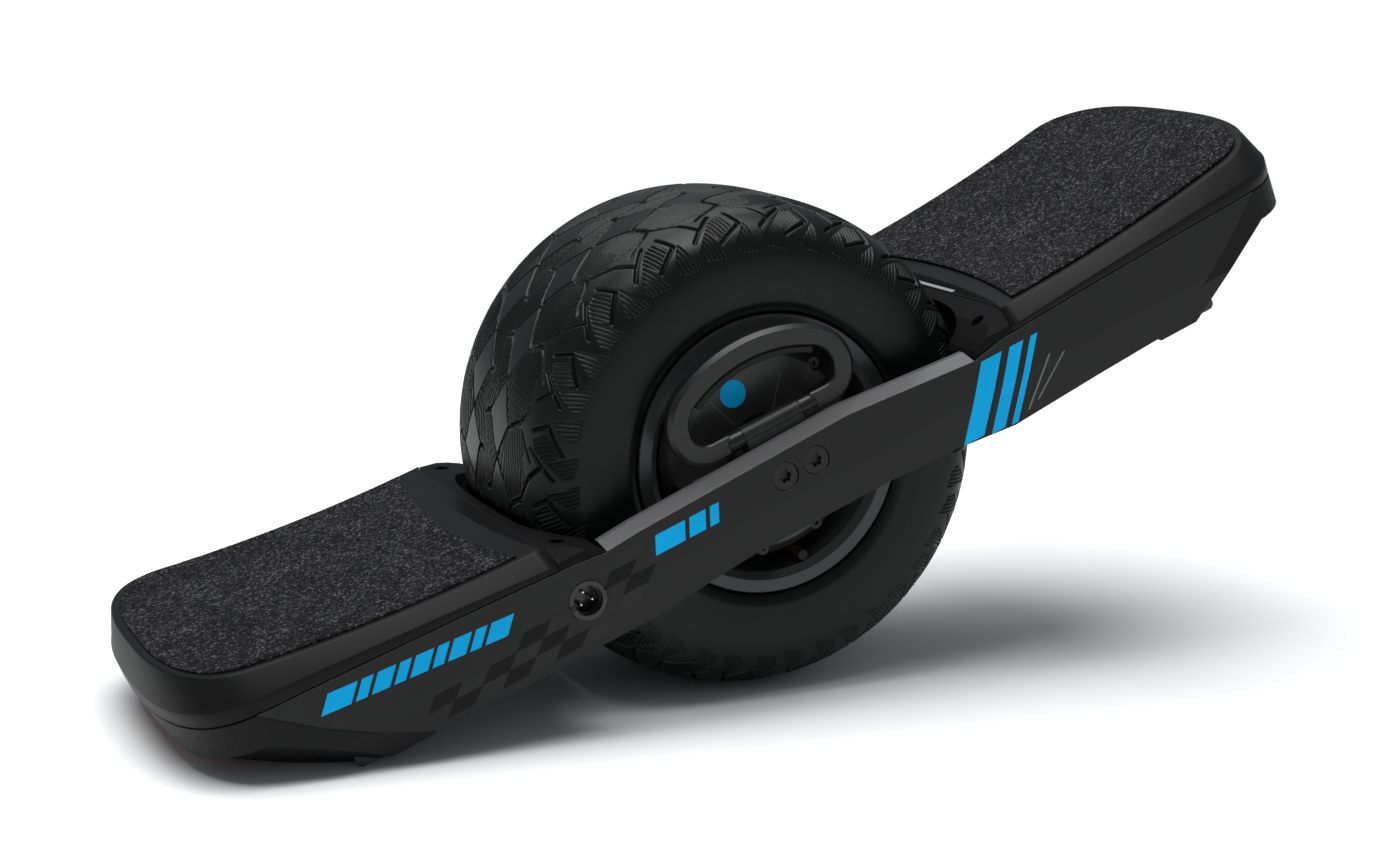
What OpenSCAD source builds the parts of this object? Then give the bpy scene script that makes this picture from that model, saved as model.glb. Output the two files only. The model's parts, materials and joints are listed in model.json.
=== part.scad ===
// Self-balancing electric skateboard with one wide hub-motor wheel in the middle.
// It stands at rest on its tyre and on its tail bumper, nose up.
// +X points to the nose, +Y to the left side, +Z up.

/* [Tyre and rim] */
// Outer diameter of the tyre
tyre_d = 304.8; // [254:0.1:340]
// Width of the tyre over its sidewalls
tyre_w = 177.8; // [165:0.1:184]
// Squareness of the tyre's section, higher is squarer
tyre_n = 3.4; // [2.6:0.1:4.5]
// Tyre thickness under the tread
tread_t = 11; // [8:0.5:14]
// Diameter of the rim's bead seat
bead_d = 152.4; // [150:0.1:158]
// Height of the rim flange above the bead seat
flange_h = 9.6; // [7:0.1:12]
// Overall width of the rim over its flanges
rim_w = 171; // [160:0.5:174]
// Radius of the channel wall inside the rim
channel_r = 73.5; // [72:0.1:74.2]
// Radius of the bore inside the rim that holds the rotor ring
rotor_r = 68; // [66.5:0.1:69]

/* [Hub motor] */
// Outer radius of the hub covers
cover_r = 66; // [65:0.1:67]
// Distance of the hub cover's outer face from the wheel's middle plane
cover_y = 75; // [72:0.5:76]
// Distance of the ledge that a hub cover is screwed to
ledge_y = 50; // [46:0.5:54]
// Pitch radius of the hub cover screws
cover_screw_pcr = 62; // [61:0.1:62.5]
// Number of screws in each hub cover
cover_screws_n = 10; // [6:1:12]
// Outer radius of the stator
stator_r = 57.5; // [54:0.1:57.6]
// Number of stator teeth
teeth_n = 27; // [18:3:36]
// Number of rotor magnets
magnets_n = 30; // [20:2:40]
// Length of the stator stack along the axle
stack_l = 40; // [30:1:50]
// Radius of the axle shaft
shaft_r = 15; // [14:0.5:16]
// Outer radius of the wheel bearings
bearing_r = 27.5; // [26.5:0.5:29]
// Width of the wheel bearings
bearing_w = 13; // [11:1:14]

/* [Board] */
// Overall width of the board over its rails
board_w = 253.6; // [245:0.1:305]
// Distance from the axle to the end of a bumper
board_half = 391; // [360:1:470]
// Thickness of a rail
rail_t = 16; // [13.3:0.1:18]
// Depth of a rail below the axle at its middle
rail_low = 35.2; // [32:0.1:40]
// Height of a rail's outer top edge above the axle at its middle
rail_high = 15; // [13:0.1:15.8]
// Width of the sloped top of a rail
rail_bevel_w = 12; // [8:0.5:13]
// Height of the sloped top of a rail
rail_bevel_h = 3.8; // [2:0.1:4.4]
// Length of a bumper beyond the end of a rail's top edge
bumper_l = 46; // [40:1:52]
// Height of the footpad's top above the axle at its inner end
deck_in = 27.5; // [26:0.1:32]
// Radius of the upward curve of a footpad
deck_curve_r = 1124; // [900:10:2000]
// Width of the bevel round a footpad
deck_bevel = 9.8; // [6:0.1:12]
// Depth of the bumpers and cases below the axle
belly = 42; // [40:0.1:42.6]
// Clearance between the tyre and the trims
tyre_gap = 4.2; // [3:0.1:8]
// Thickness of the grip tape
tape_t = 1.4; // [1:0.1:2]

/* [Handle] */
// Radius of the handle's hinge barrel
barrel_r = 6.2; // [5.8:0.1:6.4]
// Distance of the hinge axis inboard from the rail's inner face
hinge_in = 6.9; // [6.8:0.1:7.4]
// Height of the hinge axis above the axle
hinge_z = 25.6; // [25.5:0.1:27]
// Radius of the hinge pin
pin_r = 3; // [2.5:0.1:3.5]
// Length of the fixed part of the hinge
bracket_w = 40; // [34:0.5:44]
// Half width of the loop at the middle of its band
loop_half = 56.5; // [52:0.5:60]
// Height of the loop above its hinge at the middle of its band
loop_h = 49.4; // [46:0.1:54]
// Width of the loop's band
band_w = 13; // [11:0.5:14]
// Thickness of the loop's band
band_t = 9.8; // [8:0.1:9.8]

/* [Fasteners and ports] */
// Radius of an axle bolt's head
bolt_head_r = 8.4; // [7.5:0.1:9]
// Radius of an axle bolt's shank
bolt_r = 4; // [3:0.1:4]
// Distance between the two axle bolts of a side
bolt_pitch = 21.5; // [20:0.5:26]
// Radius inside the charge port
port_r = 9; // [8:0.1:9.4]
// Distance of the charge port behind the axle
port_x = 149; // [140:1:154]
// Radius of the power button
button_r = 5.4; // [4.5:0.1:5.8]
// Travel of the power button
button_travel = 1.2; // [0.8:0.1:1.6]

/* [Hidden] */

$fn = 96;
fine = 192;
small = 32;
gap = 0.3;
fit = 0.02;
run = 0.05;
far = 1000;

// Wheel
tyre_r = tyre_d / 2;
tyre_y = tyre_w / 2;
bead_r = bead_d / 2;
flange_r = bead_r + flange_h;
flange_y = rim_w / 2;
flange_t = 5.5;
seat_y = flange_y - flange_t;
crown_from = bead_r + 28;

// Board
half_w = board_w / 2;
rail_in = half_w - rail_t;
crease_z = -14;
crease_in = 2.5;
corner_x0 = board_half - 58;
corner_n = 2.7;
rail_end = board_half - bumper_l;
pad_edge = tyre_r + 8.6;
pad_x0 = pad_edge - 11;
trim_x0 = pad_edge - 32.7;
seam_x = tyre_r + 17.1;
seam_r = 700;
seam_z = 21.2;
case_x0 = tyre_r + 18.6;
case_x1 = board_half - 86;
case_l = case_x1 - case_x0;
case_y = rail_in - gap;
case_wall = 3;
case_top = 10.5;
bumper_x0 = case_x1 + gap;

// Rest pose: the tail's skid face lies on the floor
skid_x = board_half - 79.5;
skid_z = 39;
skid_rho = sqrt(skid_x * skid_x + skid_z * skid_z);
pitch = asin(tyre_r / skid_rho) - atan2(skid_z, skid_x);
tail_x = board_half * cos(pitch) + (seam_z + 10) * sin(pitch);
nose_x = board_half * cos(pitch) - seam_z * sin(pitch);
wheel_x = (tail_x - nose_x) / 2;

// Handle
hinge_y = rail_in - hinge_in;

module on_wheel() {
    translate([wheel_x, 0, tyre_r])
        children();
}

module on_board() {
    on_wheel()
        rotate([0, -pitch, 0])
            children();
}

// A child drawn for the front (+X) end, or mirrored to the rear end
module rear(is_rear = true) {
    mirror([is_rear ? 1 : 0, 0, 0])
        children();
}

module both_ends() {
    children();
    mirror([1, 0, 0])
        children();
}

module both_sides() {
    children();
    mirror([0, 1, 0])
        children();
}

// A solid of revolution about the wheel's axle, from a profile of [radius, y]
module turned(profile) {
    rotate([-90, 0, 0])
        rotate_extrude($fn = fine)
            polygon(profile);
}

// A cylinder along Y that starts at y and runs outwards by length
module y_cylinder(r, y, length, r2 = -1) {
    translate([0, y, 0])
        rotate([-90, 0, 0])
            cylinder(r1 = r, r2 = r2 < 0 ? r : r2, h = length);
}

module x_cylinder(r, length) {
    rotate([0, 90, 0])
        cylinder(r = r, h = length, center = true);
}

// An outline of [x, z] points made into a plate from y0 to y1
module side_plate(outline, y0, y1) {
    translate([0, y1, 0])
        rotate([90, 0, 0])
            linear_extrude(y1 - y0)
                polygon(outline);
}

function mirrored(points) = [for (i = [len(points) - 1 : -1 : 0]) [points[i][0], -points[i][1]]];

// ---------- shells lofted through closed rings that are symmetric about y = 0 ----------

// Rings have 2 * k + 1 points: from one side round the tip, which is point k, to the other side
module ring_loft(rings) {
    m = len(rings[0]);
    k = (m - 1) / 2;
    top = (len(rings) - 1) * m;
    sides = [for (r = [0 : len(rings) - 2], i = [0 : m - 1])
        let (a = r * m + i, b = r * m + (i + 1) % m)
        each [[a, a + m, b], [b, a + m, b + m]]];
    strips = [for (i = [0 : k - 2])
        [i, i + 1, m - 2 - i, m - 1 - i]];
    tip = [k - 1, k, k + 1];
    bottoms = concat(strips, [tip]);
    tops = [for (s = bottoms) [for (j = [len(s) - 1 : -1 : 0]) s[j] + top]];
    polyhedron(points = [for (r = rings) each r], faces = concat(sides, bottoms, tops));
}

// Plan outline of an end: straight sides from x_in, then a rounded tip at x_end
function end_plan(x_in, x0, x_end, hw, n = corner_n, straight = 9, bend = 9) =
    let (half = concat(
        [for (i = [0 : straight - 1]) [x_in + (x0 - x_in) * i / straight, hw]],
        [for (i = [0 : bend - 1])
            let (t = 90 * i / bend)
            [x0 + (x_end - x0) * pow(sin(t), 2 / n), hw * pow(cos(t), 2 / n)]]))
    concat(half, [[x_end, 0]], mirrored(half));

// ---------- heights along the board ----------

rail_stations = [pad_edge - 33, pad_x0, rail_end * 0.652, rail_end - 42, rail_end];
rail_heights = [10.2, 12.6, 16.5, 19.8, seam_z];
function rail_top(x) = lookup(x, [for (i = [0 : 4]) [rail_stations[i], rail_heights[i]]]);
function deck_z(x) = deck_in + 0.015 * (x - pad_edge) + pow(x - pad_edge, 2) / (2 * deck_curve_r);
function band_z(x) = rail_top(x) + 4 + (x - pad_edge - 4) / 36;

// ---------- rails ----------

// Outer top edge of a rail between the footpads, from rear to front
mid_top = [[33 - pad_edge, rail_heights[0] + 0.6], [56 - pad_edge, rail_high - 2.6], [39, rail_high + 1],
    [pad_edge - 33, rail_high - 6.5]];

function raised(points, h) = [for (p = points) [p[0], p[1] + h]];

// The raked end of a rail, from the top to the bottom
function rail_rake(grow) = [[rail_end + grow, rail_top(rail_end) + grow], [rail_end - 29 + grow, -3],
    [rail_end - 55 + grow, -21], [rail_end - 83 + grow, -36.5 - grow]];

// Between the footpads the outline stays below the crown that is set on it
function rail_outline(grow = 0) = concat(
    [for (i = [3 : -1 : 0]) [-rail_rake(grow)[i][0], rail_rake(grow)[i][1]]],
    [for (i = [3 : -1 : 1]) [-rail_stations[i], rail_heights[i] + grow]],
    [[33 - pad_edge, rail_heights[0]], [41 - pad_edge, 5], [pad_edge - 41, 5],
    [pad_edge - 33, rail_high - 7]],
    [for (i = [1 : 3]) [rail_stations[i], rail_heights[i] + grow]],
    rail_rake(grow),
    [[rail_end * 0.594, -rail_low - 3.6], [rail_end * 0.409, -rail_low - 7]],
    [[100, -rail_low - 2.5], [49, -rail_low]],
    [[-45, -rail_low], [-75, -rail_low - 2], [-106, -rail_low - 5.4], [-rail_end * 0.6, -rail_low - 5]]);

// The bar along the middle of a rail's top, whose outer edge is sloped; mid_top is convex
module rail_crown() {
    base = [[mid_top[3][0], -5], [mid_top[0][0], -5]];
    difference() {
        side_plate(concat(raised(mid_top, rail_bevel_h), base), -half_w, -rail_in);
        for (i = [0 : len(mid_top) - 2])
            let (a = mid_top[i], b = mid_top[i + 1], run_x = b[0] - a[0], rise = b[1] - a[1])
            translate([a[0], -half_w, a[1]])
                rotate([0, -atan2(rise, run_x), 0])
                    translate([-far / 4, 0, 0])
                        rotate([90, 0, 90])
                            linear_extrude(far / 2)
                                polygon([[-1, -rail_bevel_h / rail_bevel_w], [rail_bevel_w, rail_bevel_h],
                                    [rail_bevel_w, far / 50], [-1, far / 50]]);
    }
}

module rail_blank() {
    difference() {
        union() {
            side_plate(rail_outline(), -half_w, -rail_in);
            rail_crown();
        }
        translate([-far / 2, -half_w, 0])
            rotate([90, 0, 90])
                linear_extrude(far)
                    polygon([[-1, crease_z], [0, crease_z], [crease_in, -rail_low - 10],
                        [-1, -rail_low - 10]]);
    }
}

bolt_sink = 4;

module bolt_holes() {
    for (side = [-1, 1])
        translate([side * bolt_pitch / 2, 0, 0]) {
            y_cylinder(bolt_r + 0.3, -half_w - 1, rail_t + 2);
            y_cylinder(bolt_head_r + 0.4, -half_w - 1, bolt_sink + 1);
        }
}

port_z = -10.9;
port_out = port_r + 2;

module right_rail() {
    color([0.16, 0.16, 0.17])
        on_board()
            difference() {
                rail_blank();
                bolt_holes();
                translate([-port_x, 0, port_z]) {
                    y_cylinder(port_out + fit, -half_w - 1, rail_t + 2);
                    y_cylinder(port_out + 2.4, -half_w - 0.6, 2.2, port_out);
                }
            }
}

cable_low = -24.5;
cable_high = -5;
cable_deep = 8.8;
cable_reach = case_x0 + 24;
button_z = 2.5;
bezel_r = button_r + 2.8;

module left_rail() {
    color([0.16, 0.16, 0.17])
        on_board()
            difference() {
                mirror([0, 1, 0])
                    rail_blank();
                mirror([0, 1, 0])
                    bolt_holes();
                translate([-cable_reach, rail_in - 1, cable_low])
                    cube([2 * cable_reach, cable_deep + 1, cable_high - cable_low]);
                translate([port_x, 0, button_z])
                    y_cylinder(bezel_r + fit, rail_in - 1, rail_t + 2);
            }
}

// ---------- axle ----------

block_x = 24;
block_z = 14;
block_y0 = cover_y + 3;
shaft_end = (block_y0 + rail_in) / 2 + 2;
cable_bore_r = 4.5;
cable_z = -9.6;
bolt_l = rail_t - bolt_sink + 11;

module axle_shaft() {
    color([0.55, 0.56, 0.58])
        on_board()
            difference() {
                y_cylinder(shaft_r, -shaft_end, 2 * shaft_end);
                translate([0, 0, cable_z])
                    y_cylinder(cable_bore_r, stack_l / 2 + 8, far);
                translate([-cable_bore_r, stack_l / 2 + 4, -shaft_r - 1])
                    cube([2 * cable_bore_r, 18, shaft_r + 1 + cable_z]);
            }
}

module axle_block() {
    difference() {
        translate([-block_x, -rail_in + fit, -block_z])
            cube([2 * block_x, rail_in - block_y0 - fit, 2 * block_z]);
        y_cylinder(shaft_r + fit, -shaft_end - 0.5, far / 2);
        for (side = [-1, 1])
            translate([side * bolt_pitch / 2, 0, 0])
                y_cylinder(bolt_r + fit, -rail_in - 1, 13);
        for (side = [-1, 1])
            translate([side * bracket_screw_x, -hinge_y, block_z - 9])
                cylinder(r = bracket_screw_r + fit, h = 10);
    }
}

module right_axle_block() {
    color([0.2, 0.2, 0.21])
        on_board()
            axle_block();
}

module left_axle_block() {
    color([0.2, 0.2, 0.21])
        on_board()
            difference() {
                mirror([0, 1, 0])
                    axle_block();
                translate([0, 0, cable_z])
                    y_cylinder(cable_bore_r, block_y0 - 1, rail_in - block_y0 + 2);
                translate([-cable_bore_r, shaft_end - 2, -block_z - 1])
                    cube([block_x + cable_bore_r + 1, rail_in - shaft_end + 3, block_z + 1 - 5]);
            }
}

// A six-lobed drive recess
module lobed(r, depth) {
    linear_extrude(depth)
        polygon([for (i = [0 : 47]) let (t = i * 7.5) (r * (0.86 + 0.14 * cos(6 * t))) * [cos(t), sin(t)]]);
}

// An axle bolt whose head's outer face is at z = 0 and whose shank points to -z
module axle_bolt() {
    difference() {
        union() {
            translate([0, 0, -bolt_sink + fit])
                cylinder(r = bolt_head_r, h = bolt_sink - 0.6 - fit);
            translate([0, 0, -bolt_sink - bolt_l + 2])
                cylinder(r = bolt_r, h = bolt_l);
        }
        translate([0, 0, -3.4])
            lobed(4.2, 4);
    }
}

module axle_bolts() {
    color([0.09, 0.09, 0.1])
        on_board()
            both_sides()
                for (side = [-1, 1])
                    translate([side * bolt_pitch / 2, -half_w, 0])
                        rotate([90, 0, 0])
                            axle_bolt();
}

// ---------- motor ----------

yoke_r = 40;

module stator_core() {
    step = 360 / teeth_n;
    color([0.6, 0.6, 0.6])
        on_board()
            translate([0, stack_l / 2, 0])
                rotate([90, 0, 0])
                    linear_extrude(stack_l)
                        difference() {
                            union() {
                                circle(r = yoke_r);
                                for (i = [0 : teeth_n - 1])
                                    rotate(i * step)
                                        translate([yoke_r - 2, -1.7])
                                            square([stator_r - yoke_r + 1, 3.4]);
                            }
                            circle(r = shaft_r + fit);
                        }
}

module stator_windings() {
    step = 360 / teeth_n;
    r0 = yoke_r + 1.5;
    r1 = stator_r - 3.5;
    color([0.7, 0.4, 0.2])
        on_board()
            for (i = [0 : teeth_n - 1])
                rotate([0, i * step, 0])
                    difference() {
                        translate([r0, -stack_l / 2 - 4, -3.6])
                            cube([r1 - r0, stack_l + 8, 7.2]);
                        translate([r0 - 1, -stack_l / 2 - 0.1, -1.8])
                            cube([r1 - r0 + 2, stack_l + 0.2, 3.6]);
                    }
}

ring_c = (shaft_r + bearing_r) / 2;
ball_r = 3.5;
ball_run = ball_r + run;
balls_n = 9;
bearing_y = ledge_y + 3 + bearing_w / 2;

module race(r0, r1) {
    both_sides()
        difference() {
            turned([[r0, bearing_y - bearing_w / 2], [r1, bearing_y - bearing_w / 2],
                [r1, bearing_y + bearing_w / 2], [r0, bearing_y + bearing_w / 2]]);
            translate([0, bearing_y, 0])
                rotate([-90, 0, 0])
                    rotate_extrude()
                        translate([ring_c, 0])
                            circle(r = ball_run, $fn = small);
        }
}

module bearing_inner_rings() {
    color([0.75, 0.76, 0.78])
        on_board()
            race(shaft_r + fit, ring_c - 2.1);
}

module bearing_outer_rings() {
    color([0.75, 0.76, 0.78])
        on_wheel()
            race(ring_c + 2.1, bearing_r);
}

module bearing_cages() {
    color([0.8, 0.7, 0.4])
        on_wheel()
            both_sides()
                difference() {
                    turned([[ring_c - 1, bearing_y - 4.6], [ring_c + 1, bearing_y - 4.6],
                        [ring_c + 1, bearing_y + 4.6], [ring_c - 1, bearing_y + 4.6]]);
                    for (i = [0 : balls_n - 1])
                        rotate([0, i * 360 / balls_n, 0])
                            translate([ring_c, bearing_y, 0])
                                x_cylinder(ball_run, 10);
                }
}

module bearing_balls() {
    color([0.85, 0.85, 0.87])
        on_wheel()
            both_sides()
                for (i = [0 : balls_n - 1])
                    rotate([0, i * 360 / balls_n, 0])
                        translate([ring_c, bearing_y, 0])
                            sphere(r = ball_r, $fn = small);
}

// ---------- rotating wheel ----------

function tyre_curve(r_out, half_y, r_from, n) = [for (i = [0 : 24])
    let (t = 90 * i / 24)
    [r_from + (r_out - r_from) * pow(sin(t), 2 / n), half_y * pow(cos(t), 2 / n)]];

module tyre() {
    outer = concat([[bead_r + fit, seat_y - fit], [flange_r + 0.4, seat_y - fit],
        [flange_r + 1.2, tyre_y - 3.4], [bead_r + 17, tyre_y - 0.9]],
        tyre_curve(tyre_r, tyre_y, crown_from, tyre_n));
    inner = concat([[bead_r + fit, seat_y - 17], [bead_r + 7, seat_y - 15]],
        tyre_curve(tyre_r - tread_t, tyre_y - 7, crown_from, tyre_n));
    color([0.06, 0.06, 0.06])
        on_wheel()
            difference() {
                turned(concat(outer, [for (i = [1 : len(outer) - 1]) mirrored(outer)[i]]));
                turned(concat(inner, [for (i = [1 : len(inner) - 1]) mirrored(inner)[i]]));
            }
}

module rim() {
    half = [[rotor_r, 0], [rotor_r, ledge_y - 8], [58, ledge_y - 8], [58, ledge_y],
        [channel_r, ledge_y], [channel_r, flange_y - 4], [bead_r + 1.6, flange_y],
        [flange_r - 0.6, flange_y], [flange_r, flange_y - 0.8], [flange_r, seat_y + 0.6],
        [flange_r - 0.6, seat_y], [bead_r, seat_y], [bead_r, 0]];
    color([0.12, 0.12, 0.13])
        on_wheel()
            difference() {
                both_sides()
                    turned(half);
                cover_screw_holes(1.9 + fit, ledge_y - 7, 8);
                rotate([0, valve_angle, 0])
                    translate([valve_c, 0, 0])
                        y_cylinder(2.5 + fit, -ledge_y - 1, 9);
            }
}

module cover_screw_holes(r, y, length) {
    both_sides()
        for (i = [0 : cover_screws_n - 1])
            rotate([0, (i + 0.45) * 360 / cover_screws_n, 0])
                translate([cover_screw_pcr, 0, 0])
                    y_cylinder(r, y, length);
}

module rotor_ring() {
    color([0.5, 0.5, 0.52])
        on_wheel()
            turned([[stator_r + 3.2, -stack_l / 2 - 2], [rotor_r - fit, -stack_l / 2 - 2],
                [rotor_r - fit, stack_l / 2 + 2], [stator_r + 3.2, stack_l / 2 + 2]]);
}

module rotor_magnets() {
    step = 360 / magnets_n;
    r0 = stator_r + 0.7;
    r1 = stator_r + 3.1;
    color([0.7, 0.7, 0.74])
        on_wheel()
            for (i = [0 : magnets_n - 1])
                rotate([0, i * step, 0])
                    translate([0, stack_l / 2, 0])
                        rotate([90, 0, 0])
                            linear_extrude(stack_l)
                                polygon([for (a = [-0.42, 0, 0.42]) r0 * [cos(a * step), sin(a * step)],
                                    for (a = [0.42, 0, -0.42]) r1 * [cos(a * step), sin(a * step)]]);
}

seal_r = 24;

module hub_cover() {
    difference() {
        turned([[shaft_r + 3, ledge_y + fit], [cover_r, ledge_y + fit], [cover_r, cover_y - 7],
            [cover_r - 2.5, cover_y - 4.5], [cover_r - 6.5, cover_y - 0.6], [cover_r - 16, cover_y],
            [shaft_r + 3, cover_y]]);
        y_cylinder(bearing_r + fit, ledge_y - 1, bearing_w + 4);
        y_cylinder(seal_r, cover_y - 6.5, 10);
    }
}

cover_screw_sink = 6.4;

module hub_cover_cut() {
    cover_screw_holes(2.2, ledge_y - 1, cover_y);
    cover_screw_holes(4.3, cover_y - cover_screw_sink, 10);
}

module left_hub_cover() {
    color([0.1, 0.1, 0.1])
        on_wheel()
            difference() {
                hub_cover();
                hub_cover_cut();
            }
}

module right_hub_cover() {
    color([0.1, 0.1, 0.1])
        on_wheel()
            difference() {
                mirror([0, 1, 0])
                    hub_cover();
                hub_cover_cut();
            }
}

module hub_cover_screws() {
    head_h = 2.6;
    color([0.2, 0.2, 0.22])
        on_wheel()
            difference() {
                union() {
                    cover_screw_holes(1.9, ledge_y - 6, cover_y - cover_screw_sink - ledge_y + 7);
                    cover_screw_holes(3.9, cover_y - cover_screw_sink + fit, head_h);
                }
                both_sides()
                    for (i = [0 : cover_screws_n - 1])
                        rotate([0, (i + 0.45) * 360 / cover_screws_n, 0])
                            translate([cover_screw_pcr, cover_y - cover_screw_sink + head_h - 1.6, 0])
                                rotate([-90, 0, 0])
                                    cylinder(r = 1.7, h = 5, $fn = 6);
            }
}

module shaft_seals() {
    color([0.08, 0.08, 0.08])
        on_wheel()
            both_sides()
                turned([[shaft_r + run, cover_y - 6.2], [seal_r - fit, cover_y - 6.2],
                    [seal_r - fit, cover_y - 0.8], [shaft_r + 3, cover_y - 0.8],
                    [shaft_r + run, cover_y - 3]]);
}

valve_angle = 70;
valve_c = (cover_r + channel_r) / 2;

module valve_stem() {
    color([0.7, 0.6, 0.3])
        on_wheel()
            rotate([0, valve_angle, 0])
                translate([valve_c, 0, 0]) {
                    y_cylinder(2.5, -ledge_y - 24, 31);
                    y_cylinder(1.9, -ledge_y - 30, 6.5);
                }
}

module valve_cap() {
    color([0.05, 0.05, 0.05])
        on_wheel()
            rotate([0, valve_angle, 0])
                translate([valve_c, 0, 0])
                    difference() {
                        y_cylinder(3.1, -ledge_y - 32, 7.8);
                        y_cylinder(1.9 + fit, -ledge_y - 30 - fit, 8);
                    }
}

// ---------- footpads ----------

module footpad() {
    plan_low = end_plan(pad_x0, corner_x0, board_half - 1, half_w - 1);
    plan_mid = end_plan(pad_x0, corner_x0, board_half, half_w);
    plan_top = end_plan(pad_x0, corner_x0, board_half - deck_bevel, half_w - deck_bevel);
    difference() {
        ring_loft([
            [for (p = plan_low) [p[0], p[1], rail_top(p[0]) + gap]],
            [for (p = plan_mid) [p[0], p[1], band_z(p[0])]],
            [for (p = plan_top) [p[0], p[1], deck_z(p[0])]]]);
        translate([seam_x - seam_r, 0, -far / 4])
            cylinder(r = seam_r, h = far / 2, $fn = 720);
    }
}

module front_footpad() {
    color([0.13, 0.13, 0.13])
        on_board()
            footpad();
}

module rear_footpad() {
    color([0.13, 0.13, 0.13])
        on_board()
            rear()
                footpad();
}

tape_border = 4.5;
tape_in = pad_edge + 23;
tape_arc_r = 520;
sensor_t = 0.5;

// A curved skin on the footpad from height z0 to z1 above its top, inset from its edge
module deck_skin(z0, z1, inset, x_in) {
    xs = [for (i = [0 : 9]) pad_x0 + (corner_x0 - pad_x0) * i / 9];
    stations = concat(xs, [for (i = [1 : 6]) corner_x0 + (board_half - corner_x0) * i / 6]);
    curve0 = [for (x = stations) [x, deck_z(x) + z0]];
    curve1 = [for (i = [len(stations) - 1 : -1 : 0]) [stations[i], deck_z(stations[i]) + z1]];
    edge = deck_bevel + inset;
    intersection() {
        side_plate(concat(curve0, curve1), -half_w, half_w);
        linear_extrude(far / 4)
            difference() {
                polygon(end_plan(pad_x0, corner_x0, board_half - edge, half_w - edge, corner_n, 1, 16));
                translate([x_in - tape_arc_r, 0])
                    circle(r = tape_arc_r, $fn = 720);
            }
    }
}

module front_grip_tape() {
    color([0.2, 0.2, 0.21])
        on_board()
            deck_skin(sensor_t + 0.4, sensor_t + 0.4 + tape_t, tape_border, tape_in);
}

module foot_sensor() {
    color([0.4, 0.35, 0.2])
        on_board()
            deck_skin(0.3, 0.3 + sensor_t, tape_border + 6, tape_in + 6);
}

module rear_grip_tape() {
    color([0.2, 0.2, 0.21])
        on_board()
            rear()
                deck_skin(0.3, 0.3 + tape_t, tape_border, tape_in + 3);
}

// ---------- trims beside the tyre ----------

trim_screw_x = pad_edge - 13;
trim_screw_y = 106;
trim_screw_r = 2;
bar_half = 54;
bar_w = 2.6;

// Everything that the tyre and its clearance sweep
module tyre_room() {
    room = concat([[0, tyre_y + 6], [bead_r, tyre_y + 6], [crown_from, tyre_y + 6]],
        tyre_curve(tyre_r + tyre_gap, tyre_y + 6, crown_from + 10, tyre_n + 0.4));
    turned(concat(room, [for (i = [1 : len(room) - 1]) mirrored(room)[i]]));
}

// The cap between a footpad and the tyre, with a skirt that reaches down between the rails
module trim(with_bar) {
    block_x0 = pad_edge - 21;
    cap_outline = [[seam_x + 4, 10], [seam_x + 4, deck_z(seam_x)], [pad_edge, deck_in - 0.6],
        [pad_edge - 14, 22.6], [pad_edge - 30, 13.2], [trim_x0, 10.4], [trim_x0, 8]];
    difference() {
        union() {
            intersection() {
                side_plate(cap_outline, -half_w + 0.4, half_w - 0.4);
                rotate([90, 0, 90])
                    linear_extrude(far / 4)
                        polygon([[-half_w, -60], [half_w, -60], [half_w, 17.6],
                            [half_w - deck_bevel, 17.6 + deck_bevel], [half_w - deck_bevel, 60],
                            [-half_w + deck_bevel, 60], [-half_w + deck_bevel, 17.6 + deck_bevel],
                            [-half_w, 17.6]]);
            }
            translate([block_x0, -case_y, -belly + 6])
                cube([case_x0 - gap - block_x0, 2 * case_y, belly + 6]);
        }
        both_sides()
            translate([0, -half_w - 1, -60])
                cube([far, half_w - case_y + 1, 60]);
        both_sides()
            side_plate([[pad_edge - 61, -5], [pad_edge - 61, rail_heights[0] + gap],
                [rail_stations[0], rail_heights[0] + gap], [rail_stations[1], rail_heights[1] + gap],
                [seam_x + 10, rail_top(seam_x + 10) + gap], [seam_x + 10, -5]], -half_w - 1, -case_y);
        translate([case_x0 - gap, -far / 2, -far / 2])
            cube([far, far, far / 2 + case_top + 2]);
        difference() {
            translate([pad_edge - 41, -far / 2, -far / 2])
                cube([far, far, far]);
            translate([seam_x - gap - seam_r, 0, -far / 2])
                cylinder(r = seam_r, h = far, $fn = 720);
        }
        tyre_room();
        trim_screw_cut();
        if (with_bar)
            translate([seam_x - 6 - bar_w / 2 - fit, -bar_half - fit, 20])
                cube([bar_w + 2 * fit, 2 * (bar_half + fit), 10]);
    }
}

module trim_screw_cut() {
    for (side = [-1, 1])
        translate([trim_screw_x, side * trim_screw_y, 0]) {
            cylinder(r = trim_screw_r + fit, h = 40);
            translate([0, 0, 17])
                cylinder(r = 4.4, h = 20);
        }
}

module front_trim() {
    color([0.11, 0.11, 0.11])
        on_board()
            trim(true);
}

module rear_trim() {
    color([0.11, 0.11, 0.11])
        on_board()
            rear()
                trim(false);
}

module trim_screws() {
    color([0.25, 0.25, 0.27])
        on_board()
            both_ends()
                for (side = [-1, 1])
                    translate([trim_screw_x, side * trim_screw_y, 0])
                        difference() {
                            union() {
                                translate([0, 0, 2])
                                    cylinder(r = trim_screw_r, h = 16);
                                translate([0, 0, 17 + fit])
                                    cylinder(r = 4, h = 2.8);
                            }
                            translate([0, 0, 18.4])
                                cylinder(r = 1.7, h = 4, $fn = 6);
                        }
}

module status_bar() {
    color([0.75, 0.75, 0.78])
        on_board()
            translate([seam_x - 6 - bar_w / 2, -bar_half, 20 + fit])
                cube([bar_w, 2 * bar_half, deck_z(seam_x - 6) - 20 + 0.1]);
}

// ---------- bumpers ----------

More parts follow.
